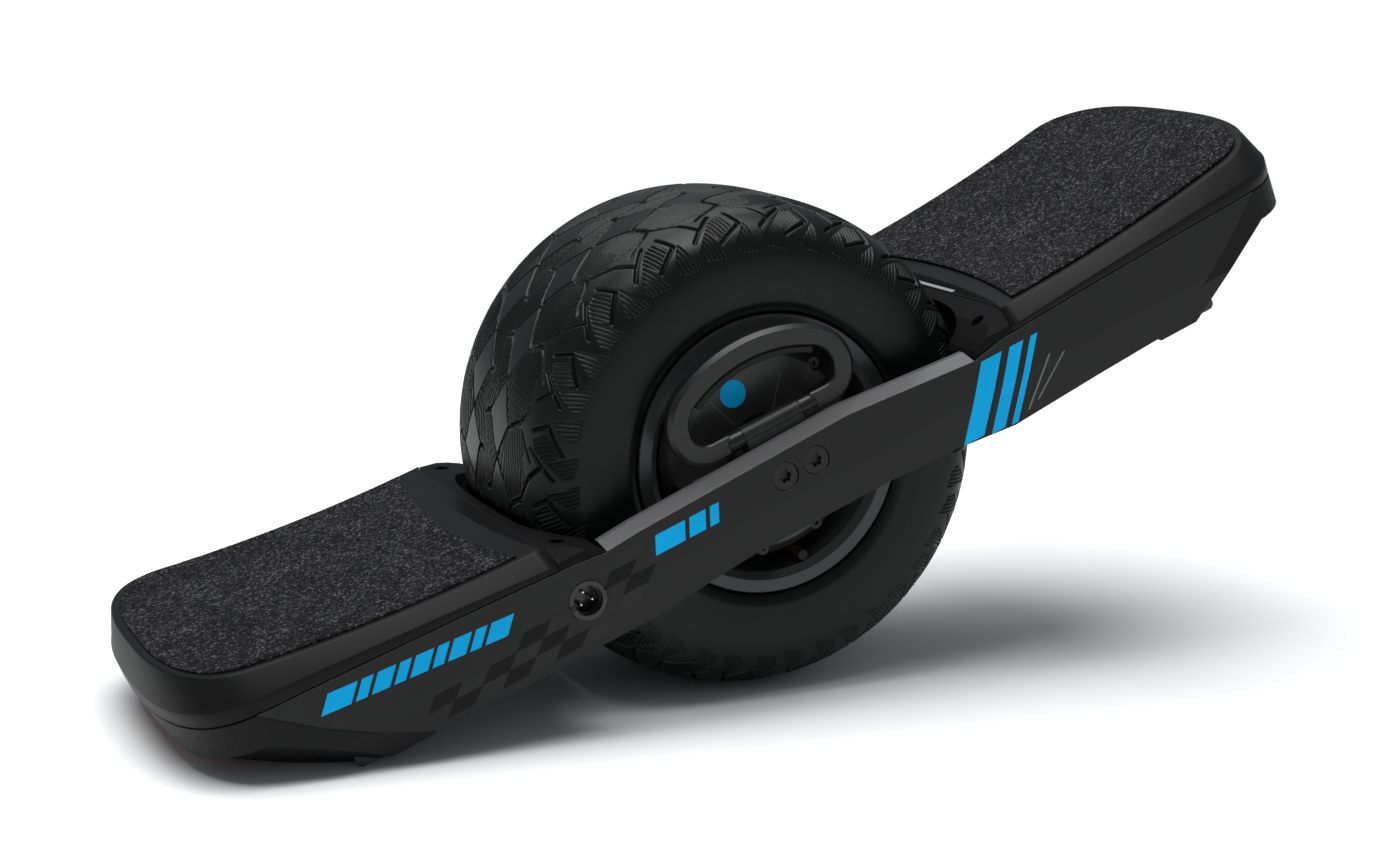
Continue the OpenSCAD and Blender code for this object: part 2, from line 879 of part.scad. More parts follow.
lens_half = 46;
lens_h = 9;
lens_t = 3;
// The lens lies on the bumper's sloped lower face, whose lean from the level is this
lens_lean = 34;
lens_x = board_half - 41;
lens_z = -17.4;

module on_lens() {
    translate([lens_x, 0, lens_z])
        rotate([0, 180 - lens_lean, 0])
            children();
}

// Side outline of a bumper, from the bottom of its inner end round the tip
bumper_in = board_half - 133;
bumper_outline = [[bumper_in, -belly], [board_half - 85, -belly], [board_half - 54, -27],
    [board_half - 27, -8], [board_half - 7, 4], [board_half - 0.4, seam_z - 2],
    [board_half - 0.4, seam_z], [rail_end, seam_z], [rail_end - 42, rail_heights[3]],
    [bumper_in, rail_top(bumper_in)]];
// Where the sloped lower corner starts and ends, measured along a plan diagonal
corner_reach = (board_half + half_w) * cos(45);
corner_high = corner_reach - 32;
corner_low = corner_reach - 82;

module bumper_blank() {
    difference() {
        intersection() {
            side_plate(bumper_outline, -half_w, half_w);
            translate([0, 0, -far / 4])
                linear_extrude(far / 2)
                    polygon(end_plan(bumper_in, corner_x0, board_half - 0.4, half_w, corner_n, 1, 16));
            // bevels along the bottom of both sides
            rotate([90, 0, 90])
                linear_extrude(far)
                    polygon([[-half_w, seam_z], [-half_w, -18], [-half_w + 9, -belly],
                        [half_w - 9, -belly], [half_w, -18], [half_w, seam_z]]);
        }
        for (side = [-1, 1])
            rotate([0, 0, side * 45])
                side_plate([[corner_low, -belly - 1], [corner_high, 2], [far, 2], [far, -belly - 1]],
                    -far, far);
    }
}

bumper_screw_x = board_half - 69;
bumper_screw_y = 84;
bumper_seat_z = -20;
board_floor = -22;

module bumper() {
    difference() {
        bumper_blank();
        // rails
        both_sides()
            side_plate(rail_outline(gap), -half_w - 1, -rail_in + gap);
        // case
        translate([0, -case_y - gap, -far / 2])
            cube([bumper_x0, 2 * (case_y + gap), far]);
        both_sides()
            translate([0, -half_w - 10, -5])
                cube([rail_end - 54, rail_t + 10 + gap, 60]);
        // room for the light's board
        translate([bumper_x0 + 4, -bumper_screw_y + 14, board_floor])
            cube([26, 2 * (bumper_screw_y - 14), 60]);
        on_lens()
            translate([-lens_h / 2 - fit, -lens_half - fit, -fit])
                cube([lens_h + 2 * fit, 2 * (lens_half + fit), 20]);
        // skid face, level when the board rests on its tail
        translate([skid_x, 0, -skid_z])
            rotate([0, -pitch, 0])
                translate([-far / 2, -far / 2, -far])
                    cube(far);
        for (side = [-1, 1])
            translate([bumper_screw_x, side * bumper_screw_y, -60]) {
                cylinder(r = 2.1, h = 100);
                cylinder(r = 4.6, h = 60 + bumper_seat_z);
            }
    }
}

module nose_bumper() {
    color([0.12, 0.12, 0.12])
        on_board()
            bumper();
}

module tail_bumper() {
    color([0.12, 0.12, 0.12])
        on_board()
            rotate([0, 0, 180])
                bumper();
}

module bumper_screws() {
    color([0.25, 0.25, 0.27])
        on_board()
            both_ends()
                for (side = [-1, 1])
                    translate([bumper_screw_x, side * bumper_screw_y, bumper_seat_z])
                        difference() {
                            union() {
                                translate([0, 0, -3])
                                    cylinder(r = 4.2, h = 3 - fit);
                                translate([0, 0, -1])
                                    cylinder(r = 2, h = 29);
                            }
                            translate([0, 0, -3.4])
                                cylinder(r = 1.7, h = 2.4, $fn = 6);
                        }
}

module lens() {
    on_lens()
        translate([-lens_h / 2, -lens_half, 0])
            cube([lens_h, 2 * lens_half, lens_t]);
}

module headlight_lens() {
    color([0.92, 0.94, 0.96])
        on_board()
            lens();
}

module taillight_lens() {
    color([0.8, 0.05, 0.05])
        on_board()
            rear()
                lens();
}

module light_boards() {
    color([0.1, 0.35, 0.15])
        on_board()
            both_ends()
                translate([bumper_x0 + 8, -lens_half, board_floor + fit])
                    cube([16, 2 * lens_half, 1.6]);
}

// ---------- cases between the rails ----------

lid_t = 2.5;
gasket_t = 1;
case_rim_z = case_top - lid_t - gasket_t;
lid_screw_r = 1.5;

module lid_screw_places() {
    for (x = [case_x0 + 5, (case_x0 + case_x1) / 2, case_x1 - 5], side = [-1, 1])
        translate([x, side * (case_y - 5), 0])
            children();
}

module case_tray() {
    difference() {
        translate([case_x0, -case_y, -belly])
            cube([case_x1 - case_x0, 2 * case_y, belly + case_rim_z]);
        difference() {
            translate([case_x0 + case_wall, -case_y + case_wall, -belly + case_wall])
                cube([case_x1 - case_x0 - 2 * case_wall, 2 * (case_y - case_wall), far]);
            lid_screw_places()
                translate([0, 0, -far / 2])
                    cylinder(r = 4.2, h = far);
        }
        lid_screw_places()
            translate([0, 0, case_rim_z - 12])
                cylinder(r = lid_screw_r + fit, h = 20);
        // the belly clears the floor under the tail
        translate([case_x1, 0, -belly])
            rotate([0, 45, 0])
                cube([3, far, 3], center = true);
        // doors for the cables
        translate([case_x0 + 9.6, case_y - case_wall - 1, cable_low + 1])
            cube([17.4, case_wall + 2, cable_high - cable_low - 2]);
    }
}

module controller_case() {
    color([0.14, 0.14, 0.15])
        on_board()
            case_tray();
}

module battery_case() {
    color([0.14, 0.14, 0.15])
        on_board()
            rear()
                case_tray();
}

module case_cover(z, t) {
    difference() {
        translate([case_x0, -case_y, z])
            cube([case_x1 - case_x0, 2 * case_y, t]);
        lid_screw_places()
            translate([0, 0, z - 1])
                cylinder(r = lid_screw_r + 0.2, h = t + 2);
    }
}

module case_lid() {
    case_cover(case_top - lid_t, lid_t);
}

module case_gasket() {
    difference() {
        case_cover(case_rim_z + fit, gasket_t - 2 * fit);
        difference() {
            translate([case_x0 + case_wall, -case_y + case_wall, 0])
                cube([case_x1 - case_x0 - 2 * case_wall, 2 * (case_y - case_wall), 30]);
            lid_screw_places()
                cylinder(r = 4.2, h = 30);
        }
    }
}

module controller_lid() {
    color([0.5, 0.51, 0.53])
        on_board()
            case_lid();
}

module controller_gasket() {
    color([0.05, 0.05, 0.05])
        on_board()
            case_gasket();
}

module battery_lid() {
    color([0.5, 0.51, 0.53])
        on_board()
            rear()
                case_lid();
}

module battery_gasket() {
    color([0.05, 0.05, 0.05])
        on_board()
            rear()
                case_gasket();
}

module controller_board() {
    color([0.08, 0.3, 0.15])
        on_board() {
            translate([case_x0 + 8, -84, -belly + case_wall + fit])
                cube([case_l - 16, 168, 1.6]);
            for (i = [0 : 5])
                translate([case_x0 + case_l * 0.2, -62.5 + i * 25, -belly + case_wall + 1.4])
                    cylinder(r = 8, h = 24);
            translate([case_x0 + case_l * 0.45, -70, -belly + case_wall + 1.4])
                cube([case_l * 0.37, 140, 8]);
        }
}

cell_r = 10.5;
cell_l = 66;
cell_step = 2 * cell_r + 0.2;
cells_n = floor((case_l - 2 * case_wall - 0.4) / cell_step);

module battery_cells() {
    color([0.2, 0.35, 0.6])
        on_board()
            rear()
                for (i = [0 : cells_n - 1], j = [0, 1], k = [-1 : 1])
                    translate([case_x0 + case_wall + 0.3 + cell_r + i * cell_step,
                        k * (cell_l + 1.5) - cell_l / 2,
                        -belly + case_wall + fit + cell_r + j * cell_step])
                        y_cylinder(cell_r, 0, cell_l);
}

module battery_board() {
    color([0.08, 0.3, 0.15])
        on_board()
            rear()
                translate([case_x0 + case_l * 0.22, -60, -belly + case_wall + 2 * cell_step + 0.1])
                    cube([case_l * 0.52, 120, 1.6]);
}

module lid_screws() {
    color([0.3, 0.3, 0.32])
        on_board()
            both_ends()
                lid_screw_places() {
                    translate([0, 0, case_rim_z - 10])
                        cylinder(r = lid_screw_r, h = 10 + gasket_t + lid_t + fit);
                    translate([0, 0, case_top + fit])
                        cylinder(r = 2.6, h = 1.2);
                }
}

// ---------- cables ----------

// A tube with flat rings along a list of points
module tube(points, r, sides = 10) {
    n = len(points);
    function along(i) = let (d = points[min(i + 1, n - 1)] - points[max(i - 1, 0)]) d / norm(d);
    function ring(i) = let (t = along(i), side = cross(t, [0, 0, 1]) / norm(cross(t, [0, 0, 1])),
        up = cross(side, t))
        [for (k = [0 : sides - 1]) points[i] + r * (cos(k * 360 / sides) * side + sin(k * 360 / sides) * up)];
    polyhedron(
        points = [for (i = [0 : n - 1]) each ring(i)],
        faces = concat(
            [for (i = [0 : n - 2], k = [0 : sides - 1])
                let (a = i * sides + k, b = i * sides + (k + 1) % sides)
                [a, b, b + sides, a + sides]],
            [[for (k = [sides - 1 : -1 : 0]) k]],
            [[for (k = [0 : sides - 1]) (n - 1) * sides + k]]));
}

cable_y = rail_in + 4.4;

// The last stretch of a cable, which turns from the rail into a case at x
function cable_end(x, z, into) = [[x - 16, cable_y, z], [x - 10, cable_y - 1.2, z],
    [x - 4.7, cable_y - 4.7, z], [x - 1.2, cable_y - 10, z], [x, cable_y - into, z]];

motor_cable_x = case_x0 + 22;

module motor_cable() {
    color([0.05, 0.05, 0.05])
        on_board()
            tube(concat([for (y = [30, 50, 70, cable_y - 16]) [0, y, cable_z]],
                [[1.2, cable_y - 10, cable_z], [4.7, cable_y - 4.7, cable_z],
                [10, cable_y - 1.2, cable_z], [16, cable_y, cable_z]],
                [for (i = [1 : 4]) [16 + (motor_cable_x - 32) * i / 5, cable_y, cable_z]],
                cable_end(motor_cable_x, cable_z, 18)), 4);
}

power_z = -19;
power_cable_x = case_x0 + 20;

module power_cable() {
    half = concat([for (i = [1 : 4]) [(power_cable_x - 16) * i / 5, cable_y, power_z]],
        cable_end(power_cable_x, power_z, 13));
    color([0.05, 0.05, 0.05])
        on_board()
            tube(concat([for (i = [len(half) - 1 : -1 : 0]) [-half[i][0], half[i][1], half[i][2]]],
                [[0, cable_y, power_z]], half), 3.4);
}

// ---------- charge port and power button ----------

port_deep = 12.5;
port_mouth = 4;

module charge_port() {
    color([0.03, 0.03, 0.03])
        on_board()
            translate([-port_x, 0, port_z])
                difference() {
                    union() {
                        y_cylinder(port_out, -half_w + 1.6, rail_t - 1.8);
                        y_cylinder(port_out + 0.8, -half_w + 0.6, 1, port_out);
                    }
                    y_cylinder(port_r, -half_w - 1, port_mouth + 1.6);
                    y_cylinder(port_r - 0.8, -half_w - 1, port_deep + 1);
                    for (i = [0 : 2])
                        rotate([0, i * 120 + 30, 0])
                            translate([4.4, 0, 0])
                                y_cylinder(1.2 + fit, -half_w, rail_t + 1);
                }
}

module charge_pins() {
    color([0.8, 0.81, 0.83])
        on_board()
            translate([-port_x, 0, port_z])
                for (i = [0 : 2])
                    rotate([0, i * 120 + 30, 0])
                        translate([4.4, 0, 0]) {
                            y_cylinder(1.2, -half_w + 6, rail_t - 6.4);
                            translate([0, -half_w + 6, 0])
                                sphere(r = 1.2);
                        }
}

module on_button() {
    on_board()
        translate([port_x, half_w, button_z])
            rotate([-90, 0, 0])
                children();
}

bezel_deep = 9;

module button_bezel() {
    color([0.3, 0.3, 0.32])
        on_button()
            difference() {
                union() {
                    translate([0, 0, -bezel_deep])
                        cylinder(r = bezel_r, h = bezel_deep + fit);
                    translate([0, 0, fit])
                        cylinder(r1 = bezel_r + 1.2, r2 = bezel_r + 0.6, h = 1);
                }
                translate([0, 0, -10])
                    cylinder(r = button_r + 1.4, h = 6.6);
                translate([0, 0, -10])
                    cylinder(r = button_r + 0.2, h = 20);
            }
}

module power_button() {
    color([0.1, 0.1, 0.1])
        on_button() {
            translate([0, 0, -6])
                cylinder(r = button_r, h = 6.6);
            translate([0, 0, -5.2])
                cylinder(r = button_r + 1.1, h = 1.6);
        }
}

module button_switch() {
    color([0.15, 0.15, 0.16])
        on_button()
            translate([0, 0, -14])
                cylinder(r = bezel_r - 1.4, h = 14 - 6 - button_travel - 0.4);
}

// ---------- handle ----------

bracket_screw_x = 15;
bracket_screw_r = 1.9;

module bracket_screw_cut(r, head_r) {
    for (side = [-1, 1])
        translate([side * bracket_screw_x, -hinge_y, 0]) {
            translate([0, 0, block_z - 8])
                cylinder(r = r, h = 14);
            translate([0, 0, block_z + 3 + fit])
                cylinder(r = head_r, h = 2);
        }
}

module handle_bracket() {
    color([0.14, 0.14, 0.14])
        on_board()
            difference() {
                union() {
                    translate([0, -hinge_y, hinge_z])
                        x_cylinder(barrel_r, bracket_w - 2 * gap);
                    translate([-bracket_w / 2 + gap, -hinge_y - barrel_r, block_z + fit])
                        cube([bracket_w - 2 * gap, 2 * barrel_r, hinge_z - block_z - 2]);
                }
                translate([0, -hinge_y, hinge_z])
                    x_cylinder(pin_r + fit, bracket_w);
                bracket_screw_cut(bracket_screw_r + 0.2, 3.6);
            }
}

module bracket_screws() {
    color([0.25, 0.25, 0.27])
        on_board()
            bracket_screw_cut(bracket_screw_r, 3.3);
}

sleeve_w = 10.4;
pin_half = bracket_w / 2 + sleeve_w - 1;

module handle_pin() {
    color([0.6, 0.6, 0.62])
        on_board()
            translate([0, -hinge_y, hinge_z])
                x_cylinder(pin_r, 2 * pin_half);
}

// The band's middle line: level foot, small corner arc, side arc and top arc, all tangent
corner_r = 17;
side_r = 24;
side_c = loop_half - side_r;
side_h = loop_h - corner_r;
top_r = (side_c * side_c + side_h * side_h - side_r * side_r) / (2 * (side_h - side_r));
top_c = loop_h - top_r;
top_angle = atan2(corner_r - top_c, side_c);
foot_x = loop_half - corner_r;

// The band's section, [from the bend's centre, across], with bevelled outer edges
function band_section(c, w, t, b) = [[c - w / 2, -t / 2 + 1], [c - w / 2 + 1, -t / 2],
    [c + w / 2 - b, -t / 2], [c + w / 2, -t / 2 + b], [c + w / 2, t / 2 - b], [c + w / 2 - b, t / 2],
    [c - w / 2 + 1, t / 2], [c - w / 2, t / 2 - 1]];

// An arc of the loop: centre, start angle and sweep in the loop's plane
module band_arc(centre, from, sweep, section) {
    translate([centre[0], 0, centre[1]])
        rotate([90, 0, 0])
            rotate([0, 0, from])
                rotate_extrude(angle = sweep)
                    polygon(section);
}

module band_sides() {
    children();
    mirror([1, 0, 0])
        children();
}

module handle_loop() {
    bevel = 2.6;
    seam = 0.1;
    sleeve_c = bracket_w / 2 + sleeve_w / 2;
    color([0.1, 0.1, 0.1])
        on_board()
            translate([0, -hinge_y, hinge_z])
                difference() {
                    union() {
                        band_arc([0, top_c], top_angle, 180 - 2 * top_angle,
                            band_section(top_r, band_w, band_t, bevel));
                        band_sides() {
                            band_arc([side_c, corner_r], 0, top_angle + 1,
                                band_section(side_r, band_w - seam, band_t - seam, bevel));
                            band_arc([foot_x, corner_r], -90, 90,
                                band_section(corner_r, band_w, band_t, bevel));
                            translate([sleeve_c + sleeve_w / 2 - 2, 0, 0])
                                rotate([90, 0, 90])
                                    linear_extrude(foot_x - sleeve_c - sleeve_w / 2 + 2)
                                        polygon([for (p = band_section(0, band_w, band_t, bevel))
                                            [p[1], -p[0]]]);
                            translate([sleeve_c, 0, 0])
                                x_cylinder(barrel_r, sleeve_w);
                        }
                    }
                    x_cylinder(pin_r + run, 2 * pin_half + 1);
                }
}

grip_t = 4.5;

module handle_grip() {
    inner = band_w / 2 + grip_t / 2 + fit;
    color([0.05, 0.05, 0.05])
        on_board()
            translate([0, -hinge_y, hinge_z])
                band_arc([0, top_c], top_angle, 180 - 2 * top_angle,
                    band_section(top_r - inner, grip_t, band_t - 1.4, 1));
}

// ---------- assembly ----------

right_rail();
left_rail();
axle_shaft();
right_axle_block();
left_axle_block();
axle_bolts();
stator_core();
stator_windings();
bearing_inner_rings();
motor_cable();
power_cable();
front_footpad();
rear_footpad();
front_grip_tape();
rear_grip_tape();
foot_sensor();
front_trim();
rear_trim();
trim_screws();
status_bar();
nose_bumper();
tail_bumper();
bumper_screws();
headlight_lens();
taillight_lens();
light_boards();
controller_case();
controller_lid();
controller_gasket();
controller_board();
battery_case();
battery_lid();
battery_gasket();
battery_cells();
battery_board();
lid_screws();
charge_port();
charge_pins();
button_bezel();
button_switch();
handle_bracket();
handle_pin();
bracket_screws();
tyre();
rim();
rotor_ring();
rotor_magnets();
right_hub_cover();
left_hub_cover();
hub_cover_screws();
bearing_outer_rings();
shaft_seals();
valve_stem();
valve_cap();
bearing_cages();
bearing_balls();
handle_loop();
handle_grip();
power_button();
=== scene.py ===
"""Looks of a self-balancing electric skateboard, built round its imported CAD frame. Metres throughout."""

import json
import math

import bpy
import numpy as np
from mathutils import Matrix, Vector


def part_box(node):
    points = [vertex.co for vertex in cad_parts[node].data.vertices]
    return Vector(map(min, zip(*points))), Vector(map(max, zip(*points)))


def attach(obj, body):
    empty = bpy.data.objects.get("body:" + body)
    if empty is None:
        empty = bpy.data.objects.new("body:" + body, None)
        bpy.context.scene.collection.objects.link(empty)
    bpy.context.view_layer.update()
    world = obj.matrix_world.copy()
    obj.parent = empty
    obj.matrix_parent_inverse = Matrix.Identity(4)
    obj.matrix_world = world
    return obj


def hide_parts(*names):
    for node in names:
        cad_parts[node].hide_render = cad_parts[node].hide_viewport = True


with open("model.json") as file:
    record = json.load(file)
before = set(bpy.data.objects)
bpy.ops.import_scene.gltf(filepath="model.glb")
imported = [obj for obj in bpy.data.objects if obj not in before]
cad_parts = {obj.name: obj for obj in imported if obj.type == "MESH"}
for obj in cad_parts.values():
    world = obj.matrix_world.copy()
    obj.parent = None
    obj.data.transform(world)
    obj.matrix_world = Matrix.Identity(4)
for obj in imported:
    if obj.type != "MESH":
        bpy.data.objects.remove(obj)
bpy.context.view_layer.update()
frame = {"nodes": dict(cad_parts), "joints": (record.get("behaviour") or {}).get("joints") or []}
noise = np.random.default_rng(7)

MM = 0.001
JOINTS = {j["name"]: j for j in frame["joints"]}
WHEEL = Vector(JOINTS["wheel_spin"]["pos_m"])
BOARD_X = Vector(JOINTS["handle_hinge"]["axis"])      # along the board, towards the nose
BOARD_Z = Vector((-BOARD_X.z, 0, BOARD_X.x))          # out of the board's top
HALF_W = -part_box("right_rail")[0].y                   # half the board's width


def on_board(x, y, z):
    """A point given along the board, across it and up from the axle, in the frame of the part."""
    return WHEEL + BOARD_X * x + Vector((0, y, 0)) + BOARD_Z * z


# ---------------------------------------------------------------- materials

def new_material(name):
    made = bpy.data.materials.new(name)
    made.use_nodes = True
    nodes = made.node_tree.nodes
    return made, nodes, made.node_tree.links, nodes["Principled BSDF"]


def noise_node(nodes, links, scale, detail=4.0, rough=0.55, stretch=(1, 1, 1)):
    place = nodes.new("ShaderNodeTexCoord")
    mapping = nodes.new("ShaderNodeMapping")
    mapping.inputs["Scale"].default_value = stretch
    links.new(place.outputs["Object"], mapping.inputs["Vector"])
    made = nodes.new("ShaderNodeTexNoise")
    made.inputs["Scale"].default_value = scale
    made.inputs["Detail"].default_value = detail
    made.inputs["Roughness"].default_value = rough
    links.new(mapping.outputs["Vector"], made.inputs["Vector"])
    return made


def ramp(nodes, links, source, stops):
    made = nodes.new("ShaderNodeValToRGB")
    points = made.color_ramp.elements
    while len(points) < len(stops):
        points.new(0.5)
    for point, (place, colour) in zip(points, stops):
        point.position = place
        point.color = (*colour, 1)
    links.new(source, made.inputs["Fac"])
    return made


def shade(colour, share):
    return tuple(c * share for c in colour)


def surface(name, colour, rough, metallic=0.0, grain=900.0, vary=0.18, rough_vary=0.08, bump=0.12,
            bump_mm=0.05, specular=0.5, stretch=(1, 1, 1), edge_mm=0.5):
    """A moulded, painted or machined surface: colour that drifts, a fine grain, and softened edges."""
    made, nodes, links, shader = new_material(name)
    broad = noise_node(nodes, links, 14.0, 3.0)
    stops = [(0.3, shade(colour, 1 - vary)), (0.7, shade(colour, 1 + vary))]
    colours = ramp(nodes, links, broad.outputs["Fac"], stops)
    links.new(colours.outputs["Color"], shader.inputs["Base Color"])
    fine = noise_node(nodes, links, grain, 3.0, 0.6, stretch)
    spread = nodes.new("ShaderNodeMapRange")
    spread.inputs["To Min"].default_value = max(0.02, rough - rough_vary)
    spread.inputs["To Max"].default_value = min(1.0, rough + rough_vary)
    links.new(fine.outputs["Fac"], spread.inputs["Value"])
    links.new(spread.outputs["Result"], shader.inputs["Roughness"])
    shader.inputs["Metallic"].default_value = metallic
    shader.inputs["Specular IOR Level"].default_value = specular
    relief = nodes.new("ShaderNodeBump")
    relief.inputs["Strength"].default_value = bump
    relief.inputs["Distance"].default_value = bump_mm * MM
    links.new(fine.outputs["Fac"], relief.inputs["Height"])
    if edge_mm:
        edge = nodes.new("ShaderNodeBevel")
        edge.samples = 4
        edge.inputs["Radius"].default_value = edge_mm * MM
        links.new(edge.outputs["Normal"], relief.inputs["Normal"])
    links.new(relief.outputs["Normal"], shader.inputs["Normal"])
    return made


def paint_highlight_on_upward_faces(made, pale):
    """Painted highlight: faces that look up, such as a sloped edge, are given a paler colour than the
    upright ones, in place of the light that falls on them from above.
    """
    nodes, links = made.node_tree.nodes, made.node_tree.links
    shader = nodes["Principled BSDF"]
    face = nodes.new("ShaderNodeTexCoord")
    split = nodes.new("ShaderNodeSeparateXYZ")
    links.new(face.outputs["Normal"], split.inputs["Vector"])
    share = nodes.new("ShaderNodeMapRange")
    share.inputs["From Min"].default_value = 0.45
    share.inputs["From Max"].default_value = 0.75
    links.new(split.outputs["Z"], share.inputs["Value"])
    # mix in the painted highlight colour where a face looks up
    blend = nodes.new("ShaderNodeMix")
    blend.data_type = "RGBA"
    blend.inputs["B"].default_value = (*pale, 1)
    links.new(share.outputs["Result"], blend.inputs["Factor"])
    links.new(shader.inputs["Base Color"].links[0].from_socket, blend.inputs["A"])
    links.new(blend.outputs["Result"], shader.inputs["Base Color"])
    return made


def multiply(nodes, links, first, second):
    made = nodes.new("ShaderNodeMix")
    made.data_type = "RGBA"
    made.blend_type = "MULTIPLY"
    made.inputs["Factor"].default_value = 1.0
    links.new(first, made.inputs["A"])
    links.new(second, made.inputs["B"])
    return made.outputs["Result"]


WHITE = (1, 1, 1)


def grit_material():
    """Coarse grip tape: dark mottled grit with pale specks that catch the light."""
    made, nodes, links, shader = new_material("grip_grit")
    cells = nodes.new("ShaderNodeTexVoronoi")
    place = nodes.new("ShaderNodeTexCoord")
    links.new(place.outputs["Object"], cells.inputs["Vector"])
    cells.inputs["Scale"].default_value = 850.0
    mottle = noise_node(nodes, links, 260.0, 5.0, 0.7)
    drift = noise_node(nodes, links, 30.0, 3.0)
    specks = nodes.new("ShaderNodeSeparateColor")
    links.new(cells.outputs["Color"], specks.inputs["Color"])
    base = ramp(nodes, links, specks.outputs["Red"],
                [(0.0, (0.006, 0.006, 0.0065)), (0.5, (0.011, 0.011, 0.0115)),
                 (0.82, (0.030, 0.030, 0.032)), (1.0, (0.10, 0.10, 0.105))])
    dust = ramp(nodes, links, mottle.outputs["Fac"], [(0.35, shade(WHITE, 0.45)), (0.7, shade(WHITE, 1.5))])
    broad = ramp(nodes, links, drift.outputs["Fac"], [(0.3, shade(WHITE, 0.75)), (0.7, shade(WHITE, 1.25))])
    dusty = multiply(nodes, links, base.outputs["Color"], dust.outputs["Color"])
    worn = multiply(nodes, links, dusty, broad.outputs["Color"])
    links.new(worn, shader.inputs["Base Color"])
    shader.inputs["Roughness"].default_value = 0.85
    shader.inputs["Specular IOR Level"].default_value = 0.08
    relief = nodes.new("ShaderNodeBump")
    relief.inputs["Strength"].default_value = 0.6
    relief.inputs["Distance"].default_value = 0.4 * MM
    links.new(specks.outputs["Red"], relief.inputs["Height"])
    links.new(relief.outputs["Normal"], shader.inputs["Normal"])
    return made


def glow_material(name, colour, strength):
    made, nodes, links, shader = new_material(name)
    ribs = noise_node(nodes, links, 500.0, 2.0)
    tint = ramp(nodes, links, ribs.outputs["Fac"], [(0.3, shade(colour, 0.7)), (0.7, colour)])
    links.new(tint.outputs["Color"], shader.inputs["Base Color"])
    links.new(tint.outputs["Color"], shader.inputs["Emission Color"])
    shader.inputs["Emission Strength"].default_value = strength
    shader.inputs["Roughness"].default_value = 0.25
    return made


